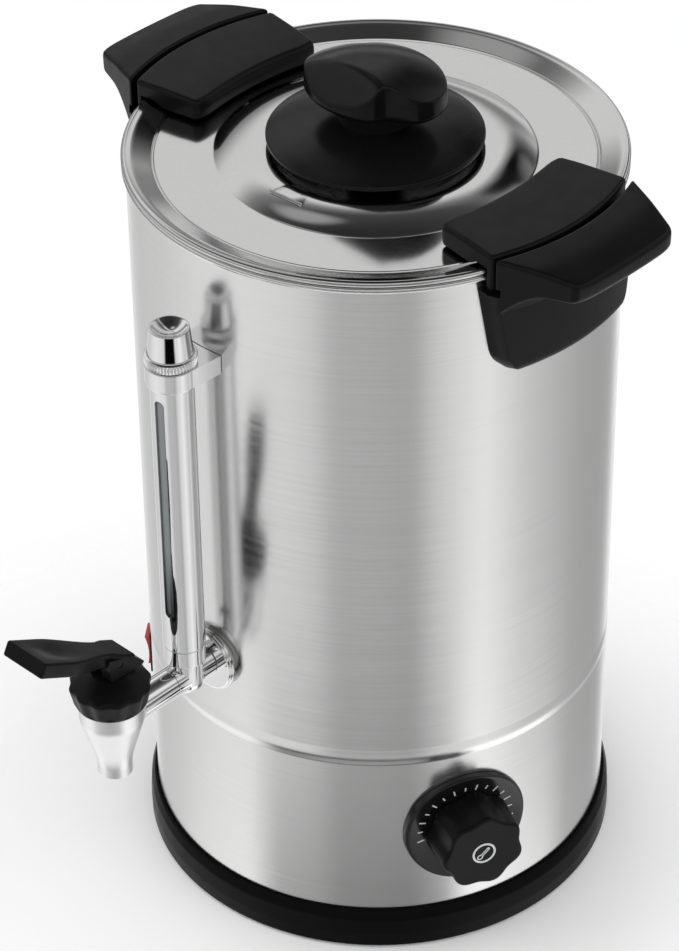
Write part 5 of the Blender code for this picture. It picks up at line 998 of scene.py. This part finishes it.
def make_bonnet():
    """The black bonnet: a plug in the cone's mouth, a scalloped skirt, a soft edge and a flat land."""
    low = CONE_TOP_Z + GAP
    top = BONNET_HIGH.z
    middle = (0.5 * (BONNET + BONNET_LAND), 0.4 * BONNET_WIDE_Z + 0.6 * top)
    corners = [(PLUG, low), (BONNET_FOOT, low), (BONNET, BONNET_WIDE_Z), middle, (BONNET_LAND, top),
               (BONNET_BORE, top)]
    line = rounded(corners, [0, 0.0007, 0.0018, 0.0030, 0.0006, 0], False, 8)
    profile = [(BONNET_BORE, BONNET_LOW.z), (PLUG, BONNET_LOW.z)] + divided(line, 0.0010)
    cap = lobed(lathe(profile, 180, True), BLACK, BONNET_SCALLOPS, SCALLOP, 0.0, 0.0150, 0.0172, low,
                BONNET_WIDE_Z + 0.0014, 0.0016)
    fixed("tap_bonnet_cap", cap, BLACK, AT_TAP, "tap_bonnet")


def lever_half(s):
    """Half of the lever's width at a distance from its pin."""
    flare = LEVER_LONG - LEVER_BLADE - LEVER_FLARE
    half = LEVER_HUB_HALF + (LEVER_NECK_HALF - LEVER_HUB_HALF) * ease(s / flare)
    return half + (LEVER_END_HALF - LEVER_NECK_HALF) * ease((s - flare) / LEVER_FLARE)


def make_lever():
    """The lever: a straight arm that rises to a wide dished blade, and a heel round its pin."""
    edge = LEVER_EDGE
    slope = radians(LEVER_ANGLE)
    spots = [(-LEVER_BACK + (LEVER_LONG + LEVER_BACK - edge) * i / 48, 0.0) for i in range(48)]
    spots += [(LEVER_LONG - edge * (1 - cos(radians(a))), edge * (1 - sin(radians(a))))
              for a in (90, 60, 30, 0)]
    sections = []
    for s, inset in spots:
        half = lever_half(s) - inset
        top = LEVER_OVER - inset
        low = LEVER_OVER - LEVER_THICK + inset
        dish = LEVER_DISH * exp(-((s - LEVER_LONG + LEVER_BLADE) / (0.5 * LEVER_BLADE)) ** 2)
        flat = [(half - edge) * cos(radians(180 * i / 18)) for i in range(19)]
        upper = [(w, top - dish * max(0.0, 1 - (w / (0.8 * half)) ** 2) ** 2) for w in flat]
        outline = arc(half - edge, low + edge, edge, -90, 0, 3) + arc(half - edge, top - edge, edge, 0, 90, 3)
        outline += upper[1:-1] + arc(edge - half, top - edge, edge, 90, 180, 3)
        outline += arc(edge - half, low + edge, edge, 180, 270, 3)
        sections.append([(w, -s * cos(slope) + t * sin(slope), s * sin(slope) + t * cos(slope))
                         for w, t in outline])
    pin_z = (PIN_LOW.z + PIN_HIGH.z) / 2
    drop = pin_z - BONNET_HIGH.z - GAP
    back = (LEVER_BACK * cos(slope) + LEVER_OVER * sin(slope) - edge,
            LEVER_OVER * cos(slope) - LEVER_BACK * sin(slope) - 0.5 * edge)
    side = [back, (LEVER_HEEL, 1.2 * edge - drop), (LEVER_HEEL - edge, -drop), (-LEVER_TOE, -drop),
            (-LEVER_TOE - edge, 0.0), (-LEVER_TOE - edge, LEVER_TOE)]
    heel = soften(bar(rounded(side, 0.0009, True), -LEVER_HUB_HALF, LEVER_HUB_HALF), 0.0006, 3, 60)
    slot = block((-0.00215, -0.0160, -2 * drop), (0.00215, 0.0042, 0.0040))
    eye = placed(rod(0.00145, -0.02, 0.02), TO_X)
    arm = combined(loft(sections), plus(heel), minus(slot), minus(eye))
    piece("tap_lever_arm", arm, BLACK, "lever", Matrix.Translation((0, TAP_Y, pin_z)), ["tap_lever"], 36)


def make_tee():
    """The tee that passes the wall, feeds the tap and carries the gauge, with its flange."""
    flange_low, flange_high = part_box("tap_flange")
    joint = AXIS_Y - GAUGE_Y + TEE_FRONT
    inner = WALL - SHEET - 0.0150
    shoulder = AXIS_Y - flange_low.y + GAP
    height = lift(TAP_PIPE_Z)
    at_gauge = Matrix.Translation((0, GAUGE_Y - AXIS_Y, 0)) @ height
    run = [(0, inner), (0.0070, inner), (0.0070, shoulder), (PIPE, shoulder), (PIPE, joint), (0, joint)]
    run = placed(lathe(rounded(run, [0, 0.0005, 0, 0.0003, 0.0003, 0]), ROUND), height @ TO_FRONT)
    up = 0.0086
    collar = 0.0102
    corners = [(0, -up), (up, -up), (up, 0.0096), (collar, 0.0105), (collar, 0.0203), (0, 0.0203)]
    column = lathe(rounded(corners, [0, 0.0060, 0.0005, 0.0005, 0.0007, 0], False, 8), ROUND)
    socket = rod(0.0080, 0.0128, 0.03)
    bore = placed(rod(PIPE_BORE, inner - 0.01, joint + 0.01), height @ TO_FRONT)
    tee = combined(run, plus(placed(column, at_gauge)), minus(placed(socket, at_gauge)),
                   minus(bore))
    fixed("tee_fitting", tee, CHROME, AT_KETTLE, "tee_body", angle=36)

    back = AXIS_Y - flange_high.y
    front = AXIS_Y - flange_low.y
    step = 0.5 * (back + front)
    rim = FLANGE - 0.0008
    corners = [(0.0074, back), (FLANGE, back), (FLANGE, step), (rim, step + 0.0003), (rim, front),
               (0.0074, front)]
    disc = lathe(rounded(corners, [0.0002, 0.0004, 0.0006, 0.0003, 0.0010, 0.0002], True), ROUND, True)
    fixed("wall_flange", disc, CHROME, AT_KETTLE @ height @ TO_FRONT, "tap_flange")


# ---------------------------------------------------------------- sight gauge
def make_guard():
    """The slotted guard tube, the glass inside it and the glass's seals."""
    low, high = GUARD_LOW.z, GUARD_HIGH.z
    outer = (GUARD_HIGH.x - GUARD_LOW.x) / 2
    inner = outer - GUARD_THICK
    slot = arc(0, high - SLOT_UNDER_TOP, SLOT_HALF, 0, 180, 16)
    slot += arc(0, low + SLOT_OVER_FOOT, SLOT_HALF, 180, 360, 16)
    window = loft([[(x, y, z) for x, z in slot] for y in (-2 * outer, 0)])
    window = placed(window, spin(SLOT_TURN))
    guard = combined(tube(inner, outer, low, high, 0.0002, 2), minus(window))
    fixed("gauge_guard_tube", guard, CHROME, AT_GAUGE, "gauge_guard", angle=40)

    outer = (GLASS_HIGH.x - GLASS_LOW.x) / 2
    glass = tube(outer - GLASS_THICK, outer, GLASS_LOW.z, GLASS_HIGH.z, 0.0003)
    fixed("sight_glass", glass, GLASS, AT_GAUGE, "gauge_glass")

    outer = inner - GAP
    liner = tube(outer - LINER_THICK, outer, low + LINER_SHORT, high - LINER_SHORT, 0.0002, 2)
    piece("gauge_liner", liner, LINER, "kettle", AT_GAUGE)


def make_head():
    """The gauge's head with the arm that holds it off the wall, and its nipple."""
    low, top = HEAD_LOW.z, HEAD_LOW.z + HEAD_TALL
    radius = HEAD_ROUND
    corners = [(0, low), (radius, low), (radius, top), (NIPPLE, top), (NIPPLE, HEAD_HIGH.z), (0, HEAD_HIGH.z)]
    body = lathe(rounded(corners, [0, 0.0007, 0.0007, 0, 0.0005, 0], False, 5), ROUND)
    reach = GAUGE_Y - AXIS_Y + WALL
    arm = [(-radius + 0.0002, 0), (radius - 0.0002, 0), (HEAD_ARM_HALF, 0.004 - reach),
           (-HEAD_ARM_HALF, 0.004 - reach)]
    arm = soften(prism(arm, low + 0.0004, top - 0.0004), 0.0006, 3, 50)
    wall = placed(rod(WALL + GAP, low - 0.02, top + 0.02, FINE), AT_GAUGE.inverted() @ AT_KETTLE)
    bore = rod(HEAD_BORE, low - 0.01, HEAD_HIGH.z + 0.01)
    head = combined(body, plus(arm), minus(wall), minus(bore))
    fixed("gauge_head_casting", head, CHROME, AT_GAUGE, "gauge_head", angle=40)


def make_cap():
    """The turned cap: a knurled foot, a slim tapering body and a dished top."""
    low, top = CAP_LOW.z, CAP_HIGH.z
    knurl = (CAP_HIGH.x - CAP_LOW.x) / 2 - 0.0003
    shoulder = low + CAP_SHOULDER
    bore = CAP_BORE
    roof = HEAD_HIGH.z + 2 * GAP + 0.0016
    crown = CAP_CROWN
    foot = rounded([(bore, low), (knurl, low), (knurl, shoulder), (0.0112, shoulder)], 0.0005)
    foot[3:-3] = [(knurl, foot[4][1] + (foot[-4][1] - foot[4][1]) * k / 8) for k in range(9)]
    body = [(0.0108, shoulder + 0.0003), (0.0107, shoulder + 0.0016), (crown, top), (crown - 0.0008, top)]
    body = rounded(body, [0, 0.0010, 0.0007, 0], False, 6)
    rim = crown - 0.0010
    dish = [(rim * (1 - k / 24), top - 0.0001 - CAP_DISH * (1 - (1 - k / 24) ** 2)) for k in range(25)]
    profile = [(0, roof), (bore, roof)] + foot + body + dish
    cap = lobed(lathe(profile, 288), CHROME, CAP_KNURLS, KNURL, 0.0, 0.0114, 0.0119, low + 0.0003,
                shoulder - 0.0002, 0.0006)
    piece("gauge_cap_turned", cap, CHROME, "cap", AT_GAUGE, ["gauge_cap"], 50)


# ---------------------------------------------------------------- thermostat, switch and inlet
def outside_wall(bm, height):
    """What is left of a solid at a station once the tank's own space is taken away."""
    return combined(bm, minus(rod(WALL + GAP, -height, 0.3 - height, FINE)))


def bezel_face(radius):
    """How far the bezel's face stands from the kettle's axis at a radius, before it is bent to the wall."""
    slope = (radius - BEZEL_FLAT_RADIUS) / (BEZEL - BEZEL_LIP - BEZEL_FLAT_RADIUS)
    return WALL + BEZEL_FLAT + (BEZEL_PROUD - BEZEL_FLAT) * min(max(slope, 0.0), 1.0)


def bent(bm, raised=None):
    """A solid on a disc facing +Z, bent round the tank; raised adds a height for each radius."""
    for v in bm.verts:
        v.co.z += (raised(hypot(v.co.x, v.co.y)) if raised else 0.0) - WALL + sqrt(WALL ** 2 - v.co.y ** 2)
    return bm


def make_dial():
    """The dished bezel, bent to the wall, with its scale of marks."""
    back = WALL - 0.004
    bore = 0.0048
    slope = [BEZEL - BEZEL_LIP - (BEZEL - BEZEL_LIP - BEZEL_FLAT_RADIUS) * k / 8 for k in range(9)]
    rim = rounded([(BEZEL, back), (BEZEL, WALL + BEZEL_PROUD), (BEZEL - BEZEL_LIP, WALL + BEZEL_PROUD)],
                  0.0010, False, 6)
    line = [(bore, back)] + rim[:-1] + [(r, bezel_face(r)) for r in slope] + [(bore, bezel_face(bore))]
    bezel = outside_wall(placed(bent(lathe(line, ROUND, True)), TO_X), DIAL_Z)
    fixed("dial_bezel_dish", bezel, BLACK_BEZEL, AT_DIAL, "dial_bezel", angle=40)

    tick = block((-SCALE_TICK, -0.00040, -0.0001), (SCALE_TICK, 0.00040, 0.00007))
    ticks = round_copies(tick, SCALE_TICKS, SCALE_RADIUS, 90 + SCALE_START, -SCALE_STEP, PRINT, 0.70)
    piece("dial_scale", bent(ticks, bezel_face), PRINT, "kettle", AT_DIAL @ TO_X)


def make_dial_knob():
    """The lobed thermostat knob with a thermometer sign on its face."""
    back = WALL + DIAL_KNOB_BACK
    end = WALL + DIAL_KNOB_FACE
    radius = DIAL_KNOB
    hollow = radius - 0.0038
    corners = [(hollow, back), (radius, back), (radius, back + 0.0012), (0.985 * radius, 0.5 * (back + end)),
               (0.968 * radius, end - 0.0012), (0.925 * radius, end - 0.0001), (0.45 * radius, end - 0.0002),
               (0, end - 0.0003)]
    line = rounded(corners, [0, 0.0006, 0.003, 0.004, 0.0010, 0.0012, 0.003, 0], False, 8)
    spindle = end - 0.0014
    inside = [(0, spindle), (0.0033, spindle), (0.0033, back + 0.003), (0.0060, back + 0.003),
              (0.0060, back + 0.0120), (hollow, back + 0.0120)]
    knob = lathe(inside + divided(line, 0.0012), 280)
    knob = lobed(knob, BLACK, DIAL_LOBES, DIAL_LOBE, pi + radians(DIAL_KNOB_SET), 0.74 * radius,
                 0.95 * radius, back - 0.01, end + 0.01, 0.001)
    piece("thermostat_knob_moulding", knob, BLACK, "dial", AT_DIAL @ TO_X, ["thermostat_knob"], 50)

    face = end - 0.00035
    top = end - 0.00005
    ring = lathe([(SIGN - SIGN_LINE, face), (SIGN, face), (SIGN, top), (SIGN - SIGN_LINE, top)], ROUND, True)
    stem = arc(0, -0.0030, 0.0016, 120, 420, 16) + arc(0, 0.0032, 0.0008, 0, 180, 10)
    core = arc(0, -0.0030, 0.0010, 110, 430, 16) + arc(0, 0.0030, 0.00030, 0, 180, 10)
    sign = combined(prism(stem, face, top), minus(prism(core, face - 0.001, top + 0.001)))
    sign = placed(sign, spin(90 + SIGN_LEAN))
    piece("thermometer_sign", joined(ring, sign), PRINT, "dial", AT_DIAL @ TO_X)


def make_switch():
    """The switch housing with its open front, and the red rocker."""
    back = WALL + GAP
    face = back + 0.0009
    surround = soften(plate(*SWITCH_FRAME, 0.0015, back - 0.001, face), 0.0004, 3, 60)
    body = slab(SWITCH_BODY, back - SWITCH_BODY_DEEP, back + 0.001)
    well = slab(SWITCH_WELL, face - SWITCH_WELL_DEEP, face + 0.01)
    housing = combined(surround, minus(rod(back, -0.05, 0.05, FINE)), plus(body), minus(well))
    fixed("switch_frame", housing, BLACK_GLOSS, AT_SWITCH, "switch_housing", angle=40)

    reach = ROCKER_REACH
    end = sqrt(reach ** 2 - ROCKER_PROUD ** 2)
    front = [(ROCKER_PROUD - ROCKER_DIP * (1 - (k / 8) ** 2), end * k / 8) for k in range(8, -9, -1)]
    rear = [(-0.0030, -0.9 * reach), (-0.0060, -0.45 * reach), (-0.0060, 0.45 * reach),
            (-0.0030, 0.9 * reach)]
    lean = Matrix.Rotation(radians(ROCKER_LEAN), 4, "Y")
    rocker = loft([[(x, y, z) for x, z in front + rear] for y in (-ROCKER_HALF, ROCKER_HALF)])
    rocker = soften(rocker, 0.0006, 3, 40)
    piece("red_rocker", rocker, RED, "rocker", AT_SWITCH @ Matrix.Translation((face, 0, 0)) @ lean,
          ["switch_rocker"], 50)


def plate(half_y, half_z, corner, back, front):
    """A plate square to +X whose outline has round corners."""
    outline = [(half_y, -half_z), (half_y, half_z), (-half_y, half_z), (-half_y, -half_z)]
    return bar(rounded(outline, corner, True, 6), back, front)


def make_inlet():
    """The power inlet: a frame on the wall, a keyed recess, three flat pins and two screws."""
    back = WALL + GAP
    face = back + INLET_PROUD
    surround = soften(plate(*INLET_FRAME, 0.0040, back - 0.001, face), 0.0006, 3, 60)
    body = slab(INLET_BODY, back - INLET_BODY_DEEP, back + 0.001)
    y, z, c = RECESS_HALF_Y, RECESS_HALF_Z, RECESS_CHAMFER
    floor = face - INLET_DEEP
    outline = [(-y, -z), (y - c, -z), (y, c - z), (y, z - c), (y - c, z), (-y, z)]
    recess = bar(rounded(outline, 0.0006, True), floor, face + 0.01)
    steps = [minus(rod(back, -0.06, 0.06, FINE)), plus(body), minus(recess)]
    for sign in (-1, 1):
        hole = placed(rod(INLET_SCREW_BORE, back - 0.01, face + 0.01), lift(sign * INLET_SCREW_AT) @ TO_X)
        steps.append(minus(hole))
    fixed("inlet_moulding", combined(surround, *steps), BLACK_GLOSS, AT_INLET, "power_inlet", angle=40)

    pins = []
    for i in (-1, 0, 1):
        offset = 0.0020 if i == 0 else -0.0010
        pin = placed(slab(INLET_PIN, floor - 0.001, face - 0.0020),
                     Matrix.Translation((0, offset, i * INLET_PIN_STEP)))
        pins.append(soften(pin, 0.0004, 2, 60))
    piece("inlet_pins", joined(*pins), BRASS, "kettle", AT_INLET)
    for i, sign in enumerate((-1, 1)):
        spot = AT_INLET @ Matrix.Translation((face + GAP, 0, sign * INLET_SCREW_AT)) @ TO_X
        piece(f"inlet_fixing_{i + 1}", pan_screw(face - WALL + SHEET + 0.004), ZINC, "kettle", spot,
              [f"inlet_screw_{i + 1}"])


# ---------------------------------------------------------------- all pieces
make_tank()
make_base()
make_lid()
make_skirt()
make_grip()
for side, spot in SIDES.items():
    make_ear(side, spot)
    make_handle(side, spot)
make_cone()
make_bonnet()
make_lever()
make_tee()
make_guard()
make_head()
make_cap()
make_dial()
make_dial_knob()
make_switch()
make_inlet()

CARRIED = {
    ZINC: ["base_plate", "heating_element", "thermostat_body", "capillary_sensor", "thermostat_spindle"],
    ALUMINIUM: ["heater_plate", "boil_dry_cutout"],
    STEEL_FLOOR: ["handle_strap_right", "handle_strap_left", "tap_lock_nut"],
    SILICONE: ["tap_washer_outer", "tap_washer_inner", "gauge_seal_lower", "gauge_seal_upper", "seat_plug"],
    STEEL_LID: ["tap_spindle"],
    # the lever pin takes the near-black steel whose colour is painted shade
    PIN_STEEL_PAINTED_SHADE: ["lever_pin"],
}
CARRIED[ZINC] += [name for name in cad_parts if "_screw" in name]
for material, names in CARRIED.items():
    for name in names:
        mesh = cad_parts[name].data
        mesh.materials.clear()
        mesh.materials.append(material)


# ---------------------------------------------------------------- floor, light and camera
def make_floor():
    """A pale floor that fades into the white background and keeps the kettle's soft shadow."""
    bm = bmesh.new()
    bmesh.ops.create_grid(bm, x_segments=1, y_segments=1, size=4.0)
    mesh = bpy.data.meshes.new("studio_floor")
    bm.to_mesh(mesh)
    bm.free()
    floor = linked("studio_floor", mesh)
    f = Finish("studio_floor_paper", (0.97, 0.97, 0.97), 0.9)
    f.shade(f.noise(2.0, 2), 0.995, 1.0)
    away = f.node("ShaderNodeVectorMath", "LENGTH", _0=f.place).outputs["Value"]
    f.drive("Alpha", f.spread(away, 1.0, 0.0, *FLOOR_FADE))
    mesh.materials.append(f.mat)
    floor.visible_glossy = False


WALL_BANDS = [(-180.0, 0.67), (-162, 0.71), (-138, 0.83), (-114, 0.89), (-102, 0.85), (-90, 0.83),
              (-78, 0.76), (-66, 0.54), (-54, 0.54), (-42, 0.52), (-30, 0.47), (-18, 0.76),
              (-6, 0.84), (6, 0.97),
              (18, 0.79), (30, 0.64), (42, 0.57), (54, 0.51), (66, 0.44), (78, 0.42), (90, 0.41),
              (102, 0.47), (114, 0.97), (126, 1.04), (137.6, 0.95), (149.6, 0.90), (161.6, 0.66),
              (173.6, 0.63), (180, 0.67)]
FOOT_BANDS = [(-180, 0.80), (-160, 1.10), (-118, 1.15), (-102, 0.02), (-12, 0.0), (0, 1.40),
              (50, 1.40), (68, 0.60), (120, 0.75), (180, 0.80)]
DOOR_BANDS = [(-180, 0.0), (-74, 0.0), (-66, 1.0), (-26, 1.0), (-18, 0.0), (180, 0.0)]
TENT_DOOR = [(-90, 0.0), (-28, 0.0), (-25.5, 1.0), (-18, 1.0), (-15, 0.0), (90, 0.0)]
TENT_FOOT = [(-90, 0.0), (-55, 0.0), (-51, 1.0), (-44.5, 1.0), (-41.5, 0.0), (90, 0.0)]
TENT_LOW = [(-90, 0.0), (-44.5, 0.0), (-41.5, 1.0), (-22, 1.0), (-12, 0.5), (-6, 0.08), (0, 0.0), (90, 0.0)]
TENT_HIGH = [(-90, 1.0), (-55, 1.0), (-51, 0.0), (-6, 0.0), (0, 0.05), (4, 0.70), (9, 0.75),
             (14, 0.25), (20, 0.30), (29, 0.80), (40, 0.84), (47, 0.26), (54, 0.07), (90, 0.02)]
TENT_SPOTS = [(162.0, 60.0, 6.5, 0.35), (100.0, 20.0, 12.0, 0.3), (106.0, 33.0, 11.0, -0.85)]
FLOOR_FADE = (0.17, 0.32)     # the floor fades into the white backdrop between these two radii
SOFT_LIGHT = 0.86


def make_world():
    """Soft white light, and for reflections a tent with broad bands round it and dark lines at its foot."""
    world = bpy.data.worlds.new("studio")
    bpy.context.scene.world = world
    world.use_nodes = True
    world.node_tree.nodes.clear()
    studio = Nodes(world.node_tree)
    node, calc = studio.node, studio.math

    def ramp(field, stops):
        made = node("ShaderNodeValToRGB", Fac=field)
        while len(made.color_ramp.elements) < len(stops):
            made.color_ramp.elements.new(1.0)
        for element, (position, value) in zip(made.color_ramp.elements, stops):
            element.position = position
            element.color = (value, value, value, 1)
        return made.outputs["Color"]

    place = node("ShaderNodeTexCoord").outputs["Generated"]
    split = node("ShaderNodeSeparateXYZ", Vector=place).outputs
    turn = calc("ARCTAN2", split["Y"], split["X"])
    share = node("ShaderNodeMapRange", Value=turn, From_Min=-pi, From_Max=pi).outputs["Result"]
    bands, foot_bands, door_bands = [ramp(share, [((a + 180) / 360, v) for a, v in row])
                                     for row in (WALL_BANDS, FOOT_BANDS, DOOR_BANDS)]
    rise = node("ShaderNodeMapRange", Value=split["Z"], From_Min=-1.0, From_Max=1.0).outputs["Result"]
    foot, door, low, total = [ramp(rise, [((sin(radians(e)) + 1) / 2, v) for e, v in row])
                              for row in (TENT_FOOT, TENT_DOOR, TENT_LOW, TENT_HIGH)]
    total = calc("ADD", total, calc("MULTIPLY", bands, low))
    total = calc("ADD", total, calc("MULTIPLY", foot_bands, foot))
    for azimuth, height, wide, strength in TENT_SPOTS:
        a, e = radians(azimuth), radians(height)
        aim = (cos(a) * cos(e), sin(a) * cos(e), sin(e))
        near = node("ShaderNodeVectorMath", "DOT_PRODUCT", _0=place, _1=aim).outputs["Value"]
        glow = node("ShaderNodeMapRange", Value=near, From_Min=cos(radians(1.4 * wide)),
                    From_Max=cos(radians(0.7 * wide)), To_Max=strength).outputs["Result"]
        total = calc("ADD", total, glow)
    shut = calc("SUBTRACT", 1.0, calc("MULTIPLY", door_bands, door))
    total = calc("MAXIMUM", calc("MULTIPLY", total, shut), 0.0)

    rays = node("ShaderNodeLightPath").outputs
    direct = calc("MAXIMUM", rays["Is Camera Ray"], rays["Is Transmission Ray"])
    soft = node("ShaderNodeBackground", Color=(1, 1, 1, 1), Strength=SOFT_LIGHT).outputs[0]
    tent = node("ShaderNodeBackground", Color=total, Strength=1.0).outputs[0]
    seen = node("ShaderNodeBackground", Color=(1, 1, 1, 1), Strength=1.0).outputs[0]
    unseen = node("ShaderNodeMixShader", Fac=rays["Is Glossy Ray"], _1=soft, _2=tent).outputs[0]
    shown = node("ShaderNodeMixShader", Fac=direct, _1=unseen, _2=seen).outputs[0]
    node("ShaderNodeOutputWorld", Surface=shown)


def lamp(name, place, aim, size, power):
    """A soft square lamp."""
    data = bpy.data.lights.new(name, "AREA")
    data.shape = "RECTANGLE"
    data.size, data.size_y = size
    data.energy = power
    obj = linked(name, data)
    obj.location = place
    obj.rotation_euler = (Vector(aim) - Vector(place)).to_track_quat("-Z", "Y").to_euler()
    obj.visible_glossy = False


def make_camera():
    """The camera stands in front of the tap, to its right, and looks down."""
    turn = Matrix.Rotation(radians(VIEW_TURN), 3, "Z")
    right = turn @ Vector((1, 0, 0))
    look = turn @ Vector((0, cos(VIEW_DOWN), -sin(VIEW_DOWN)))
    up = right.cross(look)
    tilt_right = cos(VIEW_ROLL) * right + sin(VIEW_ROLL) * up
    tilt_up = cos(VIEW_ROLL) * up - sin(VIEW_ROLL) * right
    data = bpy.data.cameras.new("camera")
    data.sensor_fit = "VERTICAL"
    data.sensor_width = data.sensor_height = 36.0
    data.lens = VIEW_LENS
    data.clip_start = 0.05
    obj = linked("camera", data)
    pose = Matrix((tilt_right, tilt_up, -look)).transposed().to_4x4()
    pose.translation = turn @ Vector(VIEW_FROM) + Vector((0, AXIS_Y, 0))
    obj.matrix_world = pose
    bpy.context.scene.camera = obj


make_floor()
make_world()
lamp("key", (-0.9, -1.0, 1.6), (0, 0, 0.25), (1.2, 1.2), 9.0)
lamp("fill", (1.3, -0.2, 1.3), (0, 0, 0.25), (1.4, 1.4), 5.0)
make_camera()
bpy.context.scene.view_settings.view_transform = "Standard"
